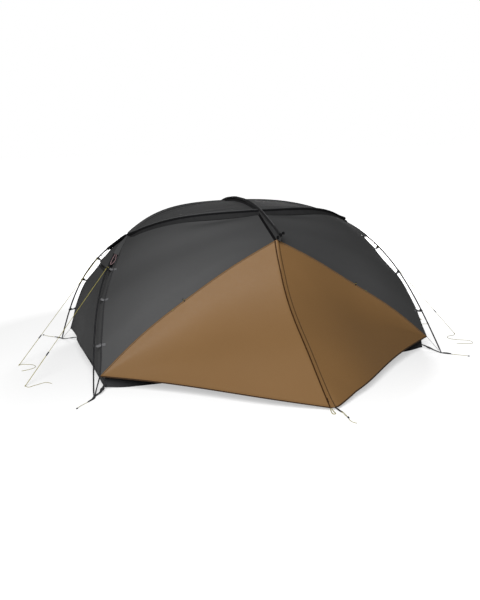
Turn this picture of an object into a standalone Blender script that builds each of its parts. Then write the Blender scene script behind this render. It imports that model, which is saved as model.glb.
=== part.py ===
"""Two-person tent, pitched: two crossing hoop poles, a brow pole, a fly with two vestibules and a tub floor.

Metres, +Z up. The origin is on the ground under the middle of the tent, X runs along its length
and the vestibules point to -Y (front) and +Y (back). One quarter is drawn and the rest mirrored.
"""
import math

import bmesh
import bpy
import numpy as np

# Driving dimensions of the pitched tent
FOOT = (1.220, 0.722)
CROSSING = (0.819, 0.0, 0.871)
ARCH_CROWN = (0.0, 0.341, 1.031)
BROW_CROWN_Z = 1.079
BROW_TIP = (0.735, 0.914)
FLY_APEX = (0.0, 0.668, 0.874)
FLY_CORNER = (1.159, 0.622, 0.098)
VESTIBULE_TOE = (0.0, 1.458, 0.020)
GUY_REACH = 1.590
GUY_ANCHOR_Y = {"front": -0.342, "back": 0.127}

# Shapes of the curves between those points, as points of one quarter (x > 0, y > 0)
LEG_BOW = [(1.157, 0.484, 0.327), (1.038, 0.244, 0.635)]
ARCH_BOW = [(0.449, 0.243, 1.008)]
BROW_BOW = [(0.105, 1.0775), (0.200, 1.068), (0.341, 1.0455), (0.530, 0.989), (0.660, 0.943)]
CORNER_SEAM = [(0.909, 0.134, 0.761), (1.005, 0.250, 0.606), (1.075, 0.391, 0.474), (1.121, 0.522, 0.295)]
COLOUR_SEAM = [(0.294, 0.627, 0.714), (0.587, 0.597, 0.527), (0.874, 0.605, 0.337)]
VESTIBULE_HEM = [(0.851, 0.826, 0.085), (0.564, 1.064, 0.072), (0.284, 1.304, 0.056)]
DOOR_RIDGE = [(0.0, 0.733, 0.678), (0.0, 0.935, 0.426), (0.0, 1.125, 0.281), (0.0, 1.306, 0.137)]
END_HEM = [(1.161, 0.350, 0.117), (1.174, 0.0, 0.120), (1.161, -0.350, 0.117)]
TUB_OUTLINE = [(1.130, 0.0), (1.134, 0.30), (1.147, 0.600), (0.80, 0.616), (0.40, 0.634), (0.0, 0.642)]

# Sections
POLE_RADIUS = 0.0048
CLOTH = 0.002
GAP = 0.0003
SLEEVE_HALF_WIDTH = 0.0165
SLEEVE_HALF_HEIGHT = 0.0066
SLEEVE_WALL = 0.0013
LEG_SLEEVE_RADIUS = 0.0070
TAIL_LIFT = 0.003
CROSSING_LIFT = 0.0054
CROSSING_REACH = 0.13
FLOOR_THICKNESS = 0.003
TUB_HEIGHT = 0.072
TUB_LEAN = 0.010
WEBBING = (0.014, 0.003)
TAB_WIDTH = 0.016
HOOK_HOLE = POLE_RADIUS + 0.0005
HOOK_RIM = HOOK_HOLE + 0.0020
CORD_RADIUS = 0.0016
SLIDER_RADIUS = 0.0055
ZIP = (0.014, 0.003)
FLAP_WIDTH = 0.038
ROOF_RISE = 0.030
ROOF_RISE_REACH = 0.55

# Distances from the pole crossing down the leg, in metres along the pole
SLEEVE_STATIONS = (0.06, 0.13, 0.20)
CLIP_STATIONS = (0.319, 0.559, 0.889)
CLIP_STRETCH = 0.018
AFTER_CLIPS = (0.120, 0.165, 0.165)

# Where a leg's sleeve is sewn to the corner seam, as shares of the seam's first step
SEWN_SHARES = (0.36, 0.66, 0.96)

# The strap from the fly's corner ends this far short of the pole's foot, and this high over the ground
STRAP_END = (0.011, 0.016, FLOOR_THICKNESS + 0.012)

# The brow's sleeve is sewn to the fly where it stands this far off, except this near the arches
BROW_SEWN_OVER = SLEEVE_HALF_HEIGHT + 0.004
BROW_CLEAR_OF_ARCH = 0.04
BROW_POLE_STICKS_OUT = 0.1

# How far the vent hoods stand off the end panels, at their upper and lower edges
HOOD_STAND = (CLOTH / 2 + 2 * GAP, 0.030)

# The slider's two ends, as shares of the taut guyline
SLIDER_SPAN = (0.720, 0.745)

# Mesh density
ARCH_STEPS = 10
SEAM_STEPS = 8
DOOR_STEPS = 8
END_STEPS = 6
ROOF_STEPS = 4

BASE_COLOURS = {
    "grey cloth": ((0.060, 0.061, 0.064), 0.62, 0.0),
    "brown cloth": ((0.190, 0.105, 0.043), 0.60, 0.0),
    "black cloth": ((0.011, 0.011, 0.012), 0.70, 0.0),
    "tub cloth": ((0.024, 0.025, 0.027), 0.55, 0.0),
    "webbing": ((0.018, 0.018, 0.019), 0.80, 0.0),
    "anodised pole": ((0.060, 0.060, 0.062), 0.35, 0.9),
    "yellow cord": ((0.640, 0.500, 0.060), 0.70, 0.0),
    "zip": ((0.070, 0.040, 0.018), 0.50, 0.0),
}

CORNERS = {
    "front_left": (-1, -1),
    "front_right": (1, -1),
    "back_left": (-1, 1),
    "back_right": (1, 1),
}
SIDES = {"front": -1, "back": 1}
ENDS = {"left": -1, "right": 1}


def clear_scene():
    for thing in list(bpy.data.objects):
        bpy.data.objects.remove(thing, do_unlink=True)


def material(name):
    found = bpy.data.materials.get(name)
    if found:
        return found
    colour, roughness, metallic = BASE_COLOURS[name]
    made = bpy.data.materials.new(name)
    made.use_nodes = True
    shader = made.node_tree.nodes["Principled BSDF"]
    shader.inputs["Base Color"].default_value = (*colour, 1.0)
    shader.inputs["Roughness"].default_value = roughness
    shader.inputs["Metallic"].default_value = metallic
    return made


def unit(vector):
    return vector / np.linalg.norm(vector)


def solid(name, points, faces, finish, smooth=True):
    """Make one closed body from points and faces, with its faces turned outwards."""
    mesh = bpy.data.meshes.new(name)
    mesh.from_pydata([tuple(p) for p in points], [], faces)
    body = bmesh.new()
    body.from_mesh(mesh)
    bmesh.ops.recalc_face_normals(body, faces=body.faces)
    body.to_mesh(mesh)
    body.free()
    mesh.materials.append(material(finish))
    if smooth:
        mesh.shade_smooth()
        mesh.set_sharp_from_angle(angle=math.radians(40))
    made = bpy.data.objects.new(name, mesh)
    bpy.context.scene.collection.objects.link(made)
    return made


def spline(points):
    """Natural cubic through points: its knots, a chord length apart, and a function of knot value."""
    points = np.array(points, float)
    knots = np.concatenate([[0.0], np.cumsum(np.linalg.norm(np.diff(points, axis=0), axis=1))])
    spans = np.diff(knots)
    system = np.eye(len(points))
    right = np.zeros_like(points)
    for i in range(1, len(points) - 1):
        system[i, i - 1:i + 2] = spans[i - 1], 2 * (spans[i - 1] + spans[i]), spans[i]
        slopes = (points[i + 1] - points[i]) / spans[i] - (points[i] - points[i - 1]) / spans[i - 1]
        right[i] = 6 * slopes
    bend = np.linalg.solve(system, right)

    def at(value):
        i = min(max(int(np.searchsorted(knots, value)) - 1, 0), len(spans) - 1)
        span, after, before = spans[i], knots[i + 1] - value, value - knots[i]
        cubic = (bend[i] * after ** 3 + bend[i + 1] * before ** 3) / (6 * span)
        start = (points[i] / span - bend[i] * span / 6) * after
        end = (points[i + 1] / span - bend[i + 1] * span / 6) * before
        return cubic + start + end

    return knots, at


def sampled(points, steps):
    """The spline through points, as steps + 1 points evenly spaced."""
    knots, at = spline(points)
    return np.array([at(value) for value in np.linspace(0, knots[-1], steps + 1)])


def outward(point, tangent):
    """The direction away from the tent's middle, square to a curve's tangent."""
    away = point - tangent * np.dot(point, tangent)
    return unit(away)


def tangents(path):
    return np.array([unit(step) for step in np.gradient(path, axis=0)])


def leg_stations():
    """Distances down the leg at which it has a point: the pole is straight through each clip."""
    stations = list(SLEEVE_STATIONS)
    for clip_at, after in zip(CLIP_STATIONS, AFTER_CLIPS):
        stations += [clip_at - CLIP_STRETCH, clip_at + CLIP_STRETCH, clip_at + after]
    return stations


def hoop():
    """The pole that stands at the back and arches to the front, as station points with its crossings.

    Gives the points from the left foot to the right foot, and the index of each crossing.
    """
    leg = [(FOOT[0], FOOT[1], 0.0)] + LEG_BOW + [CROSSING]
    arch = [(x, -y, z) for x, y, z in ARCH_BOW] + [(0.0, -ARCH_CROWN[1], ARCH_CROWN[2])]
    half = leg + arch
    line = half + [(-x, y, z) for x, y, z in reversed(half[:-1])]
    knots, at = spline(line)
    near, far = knots[3], knots[7]
    stations = leg_stations()
    values = [0.0] + [near - d for d in reversed(stations)] + list(np.linspace(near, far, 2 * ARCH_STEPS + 1))
    values += [far + d for d in stations] + [knots[-1]]
    points = np.array([at(value) for value in values])[::-1]
    first = len(stations) + 1
    return points, first, first + 2 * ARCH_STEPS


def crossing_offsets(points, first, last):
    """At each point of a hoop: its outward direction, and how near it is to a crossing, from 0 to 1."""
    lines = tangents(points)
    run = np.concatenate([[0.0], np.cumsum(np.linalg.norm(np.diff(points, axis=0), axis=1))])
    offsets = []
    for i, point in enumerate(points):
        away = min(abs(run[i] - run[first]), abs(run[i] - run[last]))
        share = math.cos(math.pi / 2 * min(away / CROSSING_REACH, 1.0)) ** 2
        offsets.append((unit(outward(point, lines[i]) * np.array([1, 1 - share, 1])), share))
    return offsets


def lifted(points, first, last, side):
    """Move a hoop out (side 1) or in (side -1) where the two cross, so that one passes over the other."""
    offsets = crossing_offsets(points, first, last)
    return np.array([p + way * side * CROSSING_LIFT * share for p, (way, share) in zip(points, offsets)])


def fly_arch(points, first, last):
    """The line of the fly under a hoop's arch: below its sleeve, and deeper where the poles cross."""
    under = []
    for i, (way, share) in enumerate(crossing_offsets(points, first, last)):
        if first <= i <= last:
            drop = SLEEVE_HALF_HEIGHT + 2 * GAP + CLOTH / 2 + CROSSING_LIFT * share
            under.append(points[i] - way * drop)
    return np.array(under)


def four_sided(low, high, start, end):
    """Coons patch: low and high run the same way, start and end join their first and last points."""
    rows, columns = len(start), len(low)
    grid = np.zeros((rows, columns, 3))
    for i in range(rows):
        v = i / (rows - 1)
        for j in range(columns):
            u = j / (columns - 1)
            across = (1 - v) * low[j] + v * high[j]
            along = (1 - u) * start[i] + u * end[i]
            flat = (1 - v) * ((1 - u) * low[0] + u * low[-1]) + v * ((1 - u) * high[0] + u * high[-1])
            grid[i, j] = across + along - flat
    return grid


def three_sided(first, second, base):
    """Patch whose first row is one point, where first and second start; base joins their far ends."""
    rows, columns = len(first), len(base)
    grid = np.zeros((rows, columns, 3))
    for i in range(rows):
        u = i / (rows - 1)
        for j in range(columns):
            v = j / (columns - 1)
            straight = (1 - v) * first[i] + v * second[i]
            bow = base[j] - (1 - v) * first[-1] - v * second[-1]
            grid[i, j] = straight + u * bow
    return grid


def flipped(grid, sign_x, sign_y):
    return grid * np.array([sign_x, sign_y, 1])


def key(point):
    return tuple(np.round(point, 5) + 0.0)


def shared_normals(panels):
    """One outward direction for each point of the fly, averaged over the panels that meet there."""
    sums = {}
    for grid in panels.values():
        for i in range(grid.shape[0] - 1):
            for j in range(grid.shape[1] - 1):
                a, b, c, d = grid[i, j], grid[i, j + 1], grid[i + 1, j + 1], grid[i + 1, j]
                normal = np.cross(c - a, d - b)
                if np.dot(normal, (a + c) / 2 - np.array([0, 0, 0.2])) < 0:
                    normal = -normal
                for corner in {key(a), key(b), key(c), key(d)}:
                    sums[corner] = sums.get(corner, 0) + normal
    return {place: unit(total) for place, total in sums.items()}


def drawn_in(grid, tip):
    """The panel's points, with its edges drawn in so that it clears its neighbours along each seam."""
    drawn = grid.copy()
    rows, columns = grid.shape[:2]
    for j in range(columns):
        if not tip:
            drawn[0, j] += GAP * unit(grid[1, j] - grid[0, j])
        drawn[-1, j] += GAP * unit(grid[-2, j] - grid[-1, j])
    for i in range(1 if tip else 0, rows):
        drawn[i, 0] += GAP * unit(grid[i, 1] - grid[i, 0])
        drawn[i, -1] += GAP * unit(grid[i, -2] - grid[i, -1])
    if tip:
        middle = grid[1].mean(axis=0)
        drawn[0] = grid[0, 0] + 6 * GAP * unit(middle - grid[0, 0])
    return drawn


def panel(name, grid, normals, finish, tip=False):
    """A cloth panel: the grid of points, given its thickness along the shared directions."""
    rows, columns = grid.shape[:2]
    drawn = drawn_in(grid, tip)
    places = [(i, j) for i in range(rows) for j in range(columns) if not (tip and i == 0 and j > 0)]
    index = {place: n for n, place in enumerate(places)}
    if tip:
        index.update({(0, j): index[(0, 0)] for j in range(columns)})
    count = len(places)
    points = []
    for side in (0.5, -0.5):
        points += [drawn[p] + normals[key(grid[p])] * CLOTH * side for p in places]
    faces = []
    for i in range(rows - 1):
        for j in range(columns - 1):
            corners = [index[(i, j)], index[(i, j + 1)], index[(i + 1, j + 1)], index[(i + 1, j)]]
            corners = list(dict.fromkeys(corners))
            faces.append(corners)
            faces.append([count + n for n in reversed(corners)])
    rim = [(0, 0)] if tip else [(0, j) for j in range(columns)]
    rim += [(i, columns - 1) for i in range(1, rows)]
    rim += [(rows - 1, j) for j in range(columns - 2, -1, -1)]
    rim += [(i, 0) for i in range(rows - 2, 0, -1)]
    for here, there in zip(rim, rim[1:] + rim[:1]):
        here, there = sorted((here, there), key=lambda place: key(grid[place]))
        a, b = index[here], index[there]
        faces.append([a, b, count + b])
        faces.append([a, count + b, count + a])
    return solid(name, points, faces, finish)


def carried_frames(path, start_up):
    """A side and an up direction at each point of a path, carried along it without twisting."""
    lines = tangents(path)
    up = unit(np.array(start_up, float) - lines[0] * np.dot(start_up, lines[0]))
    frames = []
    for line in lines:
        up = unit(up - line * np.dot(up, line))
        frames.append((np.cross(line, up), up))
    return frames


def lofted(name, rings, finish, capped=True):
    """A body through rings of points; capped with flat ends, or closed by its own last ring."""
    sides = len(rings[0])
    points = [p for ring in rings for p in ring]
    faces = []
    for i in range(len(rings) - 1):
        for j in range(sides):
            k = (j + 1) % sides
            faces.append([i * sides + j, i * sides + k, (i + 1) * sides + k, (i + 1) * sides + j])
    if capped:
        last = (len(rings) - 1) * sides
        faces.append(list(range(sides)))
        faces.append([last + j for j in range(sides)])
    return solid(name, points, faces, finish)


def round_rings(path, radii, sides, start_up=(0, 0, 1)):
    rings = []
    for point, radius, (side, up) in zip(path, radii, carried_frames(path, start_up)):
        turns = [2 * math.pi * (j + 0.5) / sides for j in range(sides)]
        rings.append([point + radius * (math.cos(a) * side + math.sin(a) * up) for a in turns])
    return rings


def standing(ring, line, height):
    """Slide a ring's points along a line until all are at one height, so that the end stands flat."""
    return [p + line * (height - p[2]) / line[2] for p in ring]


def pole(name, points):
    """A hoop pole, cut flat at both feet."""
    rings = round_rings(points, [POLE_RADIUS] * len(points), 8, start_up=(0, 1, 0))
    lines = tangents(points)
    height = FLOOR_THICKNESS + GAP
    rings[0] = standing(rings[0], lines[0], height)
    rings[-1] = standing(rings[-1], lines[-1], height)
    return lofted(name, rings, "anodised pole")


def ring_section(point, side, up, half_width, half_height, sides, tail=None):
    """An oval ring round a pole; with a tail, its lowest point is drawn out to the tail's point."""
    ring = []
    for j in range(sides):
        turn = 2 * math.pi * j / sides - math.pi / 2
        ring.append(point + half_width * math.cos(turn) * side + half_height * math.sin(turn) * up)
    if tail is not None:
        ring[0] = tail
    return ring


def sleeve(name, path, ups, half_width, half_height, finish, tails=None, sides=8):
    """A cloth sleeve round a pole: a tube open at both ends, sewn to the fly along its tail."""
    tails = [None] * len(path) if tails is None else tails
    outer, inner = [], []
    for point, line, up, tail in zip(path, tangents(path), ups, tails):
        up = unit(up - line * np.dot(up, line))
        side = np.cross(line, up)
        outer.append(ring_section(point, side, up, half_width, half_height, sides, tail))
        thin = (half_width - SLEEVE_WALL, half_height - SLEEVE_WALL)
        inner.append(ring_section(point, side, up, *thin, sides))
    count = len(path)
    points = [p for ring in outer + inner for p in ring]
    faces = []
    for wall, turned in ((0, False), (count, True)):
        for i in range(count - 1):
            for j in range(sides):
                k = (j + 1) % sides
                a, b = (wall + i) * sides, (wall + i + 1) * sides
                face = [a + j, a + k, b + k, b + j]
                faces.append(face[::-1] if turned else face)
    for end in (0, count - 1):
        for j in range(sides):
            k = (j + 1) % sides
            a, b = end * sides, (count + end) * sides
            faces.append([a + j, a + k, b + k, b + j])
    return solid(name, points, faces, finish)


def ribbon_rings(path, ups, widths, heights):
    rings = []
    for point, line, up, width, height in zip(path, tangents(path), ups, widths, heights):
        up = unit(np.array(up, float) - line * np.dot(up, line))
        side = np.cross(line, up)
        across, tall = side * width / 2, up * height / 2
        top, bottom = point + tall, point - tall
        rings.append([top + across, top - across, bottom - across, bottom + across])
    return rings


def ribbon(name, path, ups, widths, heights, finish):
    return lofted(name, ribbon_rings(np.array(path), ups, widths, heights), finish)


def clip(name, pole_point, pole_line, seam_point):
    """A tab from the corner webbing to the pole, ending in a hook that goes most of the way round it."""
    reach = seam_point - pole_point
    reach = reach - pole_line * np.dot(reach, pole_line)
    inward = unit(reach)
    side = np.cross(pole_line, inward)
    start, stop = math.radians(20), math.radians(320)
    turns = np.linspace(start, stop, 11)
    outline = [pole_point + HOOK_RIM * (math.cos(a) * inward + math.sin(a) * side) for a in turns]
    outline += [pole_point + HOOK_HOLE * (math.cos(a) * inward + math.sin(a) * side) for a in reversed(turns)]
    neck = HOOK_RIM * math.sin(start)
    far = np.linalg.norm(reach) - 0.0004
    outline += [pole_point + far * inward, pole_point + far * inward + 0.5 * neck * side]
    thick = pole_line * TAB_WIDTH / 2
    count = len(outline)
    points = [p + thick for p in outline] + [p - thick for p in outline]
    faces = [list(range(count)), [count + n for n in reversed(range(count))]]
    for n in range(count):
        m = (n + 1) % count
        faces.append([n, m, count + m, count + n])
    return solid(name, points, faces, "webbing", smooth=False)


def joined(base, others):
    """Fuse other bodies to a base one; they stay in the file as guides only."""
    for other in others:
        union = base.modifiers.new("Fused " + other.name, "BOOLEAN")
        union.operation = "UNION"
        union.object = other
        other.hide_render = True
        other.display_type = "WIRE"


def quarter_curves():
    """The seams of the quarter with x > 0 and y > 0, all as evenly spaced points."""
    under = fly_arch(*hoop())
    arch = flipped(under[::-1][:ARCH_STEPS + 1], 1, -1)
    corner = sampled([arch[0]] + CORNER_SEAM + [FLY_CORNER], SEAM_STEPS)
    colour = sampled([FLY_APEX] + COLOUR_SEAM + [FLY_CORNER], ARCH_STEPS)[::-1]
    crown = np.linspace(arch[-1], FLY_APEX, SEAM_STEPS + 1)
    hem = sampled([FLY_CORNER] + VESTIBULE_HEM + [VESTIBULE_TOE], ARCH_STEPS)
    ridge = sampled([FLY_APEX] + DOOR_RIDGE + [VESTIBULE_TOE], DOOR_STEPS)
    return {"arch": arch, "corner": corner, "colour": colour, "crown": crown, "hem": hem, "ridge": ridge}


def roof_half(arch):
    """Half of the roof between the arches, from the crossing to the ridge under the brow pole."""
    across = np.linspace(0, 1, 2 * ROOF_STEPS + 1)
    grid = np.array([[(1 - v) * flipped(p, 1, -1) + v * p for v in across] for p in arch])
    for row in grid:
        near = 1 - min(abs(row[0][0]) / ROOF_RISE_REACH, 1.0)
        rise = ROOF_RISE * near * near * (3 - 2 * near)
        row[:, 2] += rise * 4 * across * (1 - across)
    return grid


def fly_grids(curves):
    """Every panel of the fly, as a grid of points; a name maps to the grid and its finish."""
    side = four_sided(curves["arch"], curves["colour"], curves["corner"], curves["crown"])
    door = three_sided(curves["colour"], curves["hem"], curves["ridge"])
    other_corner = (FLY_CORNER[0], -FLY_CORNER[1], FLY_CORNER[2])
    end_hem = sampled([FLY_CORNER] + END_HEM + [other_corner], END_STEPS)
    end = three_sided(curves["corner"], flipped(curves["corner"], 1, -1), end_hem)
    roof = roof_half(curves["arch"])
    panels = {}
    for corner, (sign_x, sign_y) in CORNERS.items():
        panels["fly_side_" + corner] = (flipped(side, sign_x, sign_y), "grey cloth", False)
        panels["vestibule_" + corner] = (flipped(door, sign_x, sign_y), "brown cloth", True)
    for name, sign in ENDS.items():
        panels["fly_end_" + name] = (flipped(end, sign, 1), "grey cloth", True)
        panels["fly_roof_" + name] = (flipped(roof, sign, 1), "grey cloth", True)
    return panels


def make_fly(panels, normals):
    for name, (grid, finish, tip) in panels.items():
        panel(name, grid, normals, finish, tip)


def make_poles(front, back):
    pole("pole_front_arch", front)
    pole("pole_back_arch", back)


def make_arch_sleeves(front, back, first, last):
    """The two black sleeves that run over the roof between the crossings."""
    for name, points in (("front", front), ("back", back)):
        path = points[first + 1:last]
        ups = [outward(p, line) for p, line in zip(path, tangents(path))]
        sleeve("sleeve_" + name + "_arch", path, ups, SLEEVE_HALF_WIDTH, SLEEVE_HALF_HEIGHT, "black cloth")


def brow_stations():
    """Where the brow's points lie along Y: even steps, with three close ones over each arch."""
    half = [0.0, 0.11, 0.21, ARCH_CROWN[1] - 0.035, ARCH_CROWN[1], ARCH_CROWN[1] + 0.035, 0.455, 0.530, 0.605,
            0.680, BROW_TIP[0]]
    return [-y for y in reversed(half[1:])] + half


def brow_line():
    half = [(0.0, BROW_CROWN_Z)] + BROW_BOW + [BROW_TIP]
    points = [(0.0, -y, z) for y, z in reversed(half[1:])] + [(0.0, y, z) for y, z in half]
    knots, at = spline(points)
    fine = np.array([at(value) for value in np.linspace(0, knots[-1], 400)])
    stations = brow_stations()
    return np.array([(0.0, y, np.interp(y, fine[:, 1], fine[:, 2])) for y in stations])


def roof_height(y, curves):
    """Height of the fly's surface in the plane x = 0."""
    roof = roof_half(curves["arch"])[-1]
    crown = curves["crown"]
    line = np.concatenate([flipped(crown[::-1], 1, -1)[:-1], roof, crown[1:]])
    return float(np.interp(y, line[:, 1], line[:, 2]))


def make_brow(curves):
    """The brow pole over both arches, and its sleeve, sewn down to the ridge of the fly."""
    line = brow_line()
    start = line[0] + (line[0] - line[1]) * BROW_POLE_STICKS_OUT
    end = line[-1] + (line[-1] - line[-2]) * BROW_POLE_STICKS_OUT
    pole_path = np.concatenate([[start], line, [end]])
    lofted("pole_brow", round_rings(pole_path, [POLE_RADIUS] * len(pole_path), 8), "anodised pole")
    tails = []
    for point in line:
        over_arch = abs(abs(point[1]) - ARCH_CROWN[1]) < BROW_CLEAR_OF_ARCH
        seat = np.array([0.0, point[1], roof_height(point[1], curves) + CLOTH + 2 * GAP])
        deep = point[2] - seat[2] > BROW_SEWN_OVER
        tails.append(seat if deep and not over_arch else None)
    ups = [np.array([0.0, 0.0, 1.0])] * len(line)
    sleeve("sleeve_brow", line, ups, SLEEVE_HALF_WIDTH, SLEEVE_HALF_HEIGHT, "black cloth", tails)


def leg_points(points, first):
    """One leg of a hoop, from the crossing down to the foot, at x > 0."""
    leg = points[:first + 1][::-1]
    return leg * np.array([np.sign(leg[0][0]), 1, 1])


def leg_sleeve(corner, top, seam, seam_normals):
    """The sleeve at the top of a leg, sewn down to the corner seam."""
    ups, tails = [], []
    for point, line, share in zip(top, tangents(top), SEWN_SHARES):
        root = seam[0] * (1 - share) + seam[1] * share
        lift = seam_normals[0] * (1 - share) + seam_normals[1] * share
        tail = root + lift * (CLOTH / 2 + TAIL_LIFT)
        ups.append(unit(point - tail))
        tails.append(tail - line * np.dot(tail - point, line))
    sleeve("sleeve_leg_" + corner, top, ups, LEG_SLEEVE_RADIUS, LEG_SLEEVE_RADIUS, "black cloth", tails)


def make_leg(corner, signs, leg, curves, normals):
    """The sleeve at the top of a leg, and the webbing with its clips that holds the fly to the pole."""
    sign_x, sign_y = signs
    leg = leg * np.array([sign_x, np.sign(leg[-1][1]) * sign_y, 1])
    seam = flipped(curves["corner"], sign_x, sign_y)
    seam_normals = np.array([normals[key(p)] for p in seam])
    leg_sleeve(corner, leg[1:4], seam, seam_normals)
    width, height = WEBBING
    lift = CLOTH / 2 + 0.0005 + height / 2
    start = 0.6 * seam[1] + 0.4 * seam[2]
    path = [start + seam_normals[1] * lift] + [p + n * lift for p, n in zip(seam[2:], seam_normals[2:])]
    foot_x, foot_y = leg[-1][:2]
    below = np.array([foot_x - sign_x * STRAP_END[0], foot_y - sign_y * STRAP_END[1], STRAP_END[2]])
    hem_end = path[-1]
    for share in (0.12, 0.5, 1.0):
        path.append((1 - share) * hem_end + share * below)
    ups = list(seam_normals[1:]) + [seam_normals[-1]] * 3
    count = len(path)
    web = ribbon("webbing_" + corner, path, ups, [width] * count, [height] * count, "webbing")
    clips = []
    for n, (point, line) in enumerate(clip_places(leg)):
        nearest = nearest_on(np.array(path[:SEAM_STEPS]), point, line)
        clips.append(clip("clip_" + corner + "_" + str(n + 1), point, line, nearest))
    joined(web, clips)


def clip_places(leg):
    """The middle of each clip on a leg's pole, and the pole's direction there."""
    places = []
    for n in range(len(CLIP_STATIONS)):
        above = 1 + len(SLEEVE_STATIONS) + 3 * n
        places.append(((leg[above] + leg[above + 1]) / 2, unit(leg[above + 1] - leg[above])))
    return places


def nearest_on(path, point, line):
    """Where a path passes through the plane square to the pole at a point."""
    heights = (path - point) @ line
    for i in range(len(path) - 1):
        if heights[i] * heights[i + 1] <= 0:
            share = heights[i] / (heights[i] - heights[i + 1])
            return path[i] * (1 - share) + path[i + 1] * share
    return path[int(np.argmin(abs(heights)))]


def make_door(side, turn, curves, grids):
    """The zip down a door's ridge and the storm flap beside it; the back door is the front one turned."""
    ridge = curves["ridge"] * np.array([1, -1, 1])
    panel_grid = grids["vestibule_front_right"][0]
    inner_row = panel_grid[-2]
    spin = np.array([turn, turn, 1])
    width, height = ZIP
    face = np.array([np.cross(b - a, c - a) for a, b, c in zip(
        ridge, inner_row, np.concatenate([ridge[1:], [2 * ridge[-1] - ridge[-2]]]))])
    face = np.array([unit(n if n[2] > 0 else -n) for n in face])
    ups = np.array([unit(n * np.array([0, 1, 1])) for n in face])
    lift = CLOTH / 2 + 0.0009 + height / 2
    path = ridge + ups * lift
    path[-1] = 0.9 * path[-1] + 0.1 * path[-2]
    ribbon("zip_" + side, path * spin, ups * spin, [width] * len(path), [height] * len(path), "zip")
    across = np.array([unit(q - p) for p, q in zip(ridge, inner_row)])
    start = width / 2 + 0.0015
    low = CLOTH / 2 + 3 * GAP
    rings = []
    for p, a, n in zip(ridge[:-1], across, face):
        near, far = p + a * start, p + a * (start + FLAP_WIDTH)
        ring = [near + n * (low + CLOTH), far + n * (low + CLOTH), far + n * low, near + n * low]
        rings.append([q * spin for q in ring])
    lofted("storm_flap_" + side, rings, "brown cloth")


def make_vent_hood(name, sign, grids, normals):
    """The hood over the vent at the top of an end panel: it stands off at its lower edge."""
    grid = grids["fly_end_" + name][0]
    edges = []
    for line, off in zip(grid[1:3], HOOD_STAND):
        away = [normals[key(p)] for p in line]
        edges.append([p + n * off for p, n in zip(line[1:-1], away[1:-1])])
    middle = [(a + b) / 2 + np.array([sign * 0.004, 0, 0.004]) for a, b in zip(*edges)]
    strips = [edges[0], middle, edges[1]]
    outer, inner = [], []
    thick = np.array([sign * CLOTH * 0.8, 0, CLOTH * 0.6])
    columns = len(strips[0])
    for strip in strips:
        outer += [p + thick for p in strip]
        inner += list(strip)
    points = outer + inner
    count = len(outer)
    faces = []
    for i in range(len(strips) - 1):
        for j in range(columns - 1):
            a = i * columns + j
            quad = [a, a + 1, a + columns + 1, a + columns]
            faces.append(quad)
            faces.append([count + n for n in reversed(quad)])
    rim = list(range(columns)) + [columns * 2 - 1, columns * 3 - 1]
    rim += list(range(columns * 3 - 2, columns * 2 - 1, -1)) + [columns]
    for a, b in zip(rim, rim[1:] + rim[:1]):
        faces.append([a, b, count + b, count + a])
    solid("vent_hood_" + name, points, faces, "grey cloth")


def make_tub():
    """The tub floor: a flat sheet with a wall all round it."""
    quarter = sampled([(x, y, 0.0) for x, y in TUB_OUTLINE[:3]], 4)[:-1]
    side = sampled([(x, y, 0.0) for x, y in TUB_OUTLINE[2:]], 6)
    first = np.concatenate([quarter, side])
    half = np.concatenate([first, flipped(first[::-1], -1, 1)[1:]])
    loop = np.concatenate([half, flipped(half[::-1], 1, -1)[1:-1]])
    shrink = [(0.0, 0.0), (TUB_LEAN, TUB_HEIGHT), (TUB_LEAN + CLOTH, TUB_HEIGHT), (CLOTH, FLOOR_THICKNESS)]
    rings = []
    for inset, height in shrink:
        scale = np.array([1 - inset / TUB_OUTLINE[0][0], 1 - inset / TUB_OUTLINE[-1][1], 1])
        rings.append([p * scale + np.array([0, 0, height]) for p in loop])
    lofted("tub_floor", rings, "tub cloth")


def make_corner_strap(corner, signs):
    """The strap from a tub corner through its buckle to the foot, with its stake-out cord."""
    sign_x, sign_y = signs
    tub_x, tub_y = TUB_OUTLINE[2]
    foot_x, foot_y = FOOT
    thick = FLOOR_THICKNESS
    run = [
        (tub_x + 0.002, tub_y - 0.0041, 0.0200, 0.018, thick),
        (tub_x + 0.012, tub_y + 0.020, 0.0150, 0.020, thick),
        (tub_x + 0.019, tub_y + 0.034, 0.0110, 0.026, 0.007),
        (tub_x + 0.032, tub_y + 0.056, 0.0075, 0.026, 0.007),
        (tub_x + 0.040, tub_y + 0.070, 0.0055, 0.020, thick),
        (foot_x - 0.012, foot_y - 0.024, thick / 2, 0.022, thick),
        (foot_x + 0.004, foot_y + 0.010, thick / 2, 0.024, thick),
        (foot_x + 0.022, foot_y + 0.034, thick / 2, 0.014, thick),
        (foot_x + 0.040, foot_y + 0.056, 0.004, 0.012, 0.006),
        (foot_x + 0.054, foot_y + 0.072, 0.002, 0.003, 0.003),
        (foot_x + 0.080, foot_y + 0.100, 0.002, 0.003, 0.003),
        (foot_x + 0.108, foot_y + 0.132, 0.002, 0.003, 0.003),
        (foot_x + 0.118, foot_y + 0.144, 0.004, 0.008, 0.008),
        (foot_x + 0.126, foot_y + 0.153, 0.004, 0.008, 0.008),
    ]
    path = [(sign_x * x, sign_y * y, z) for x, y, z, width, height in run]
    widths = [width for x, y, z, width, height in run]
    heights = [height for x, y, z, width, height in run]
    ribbon("corner_strap_" + corner, path, [(0, 0, 1)] * len(path), widths, heights, "webbing")


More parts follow.
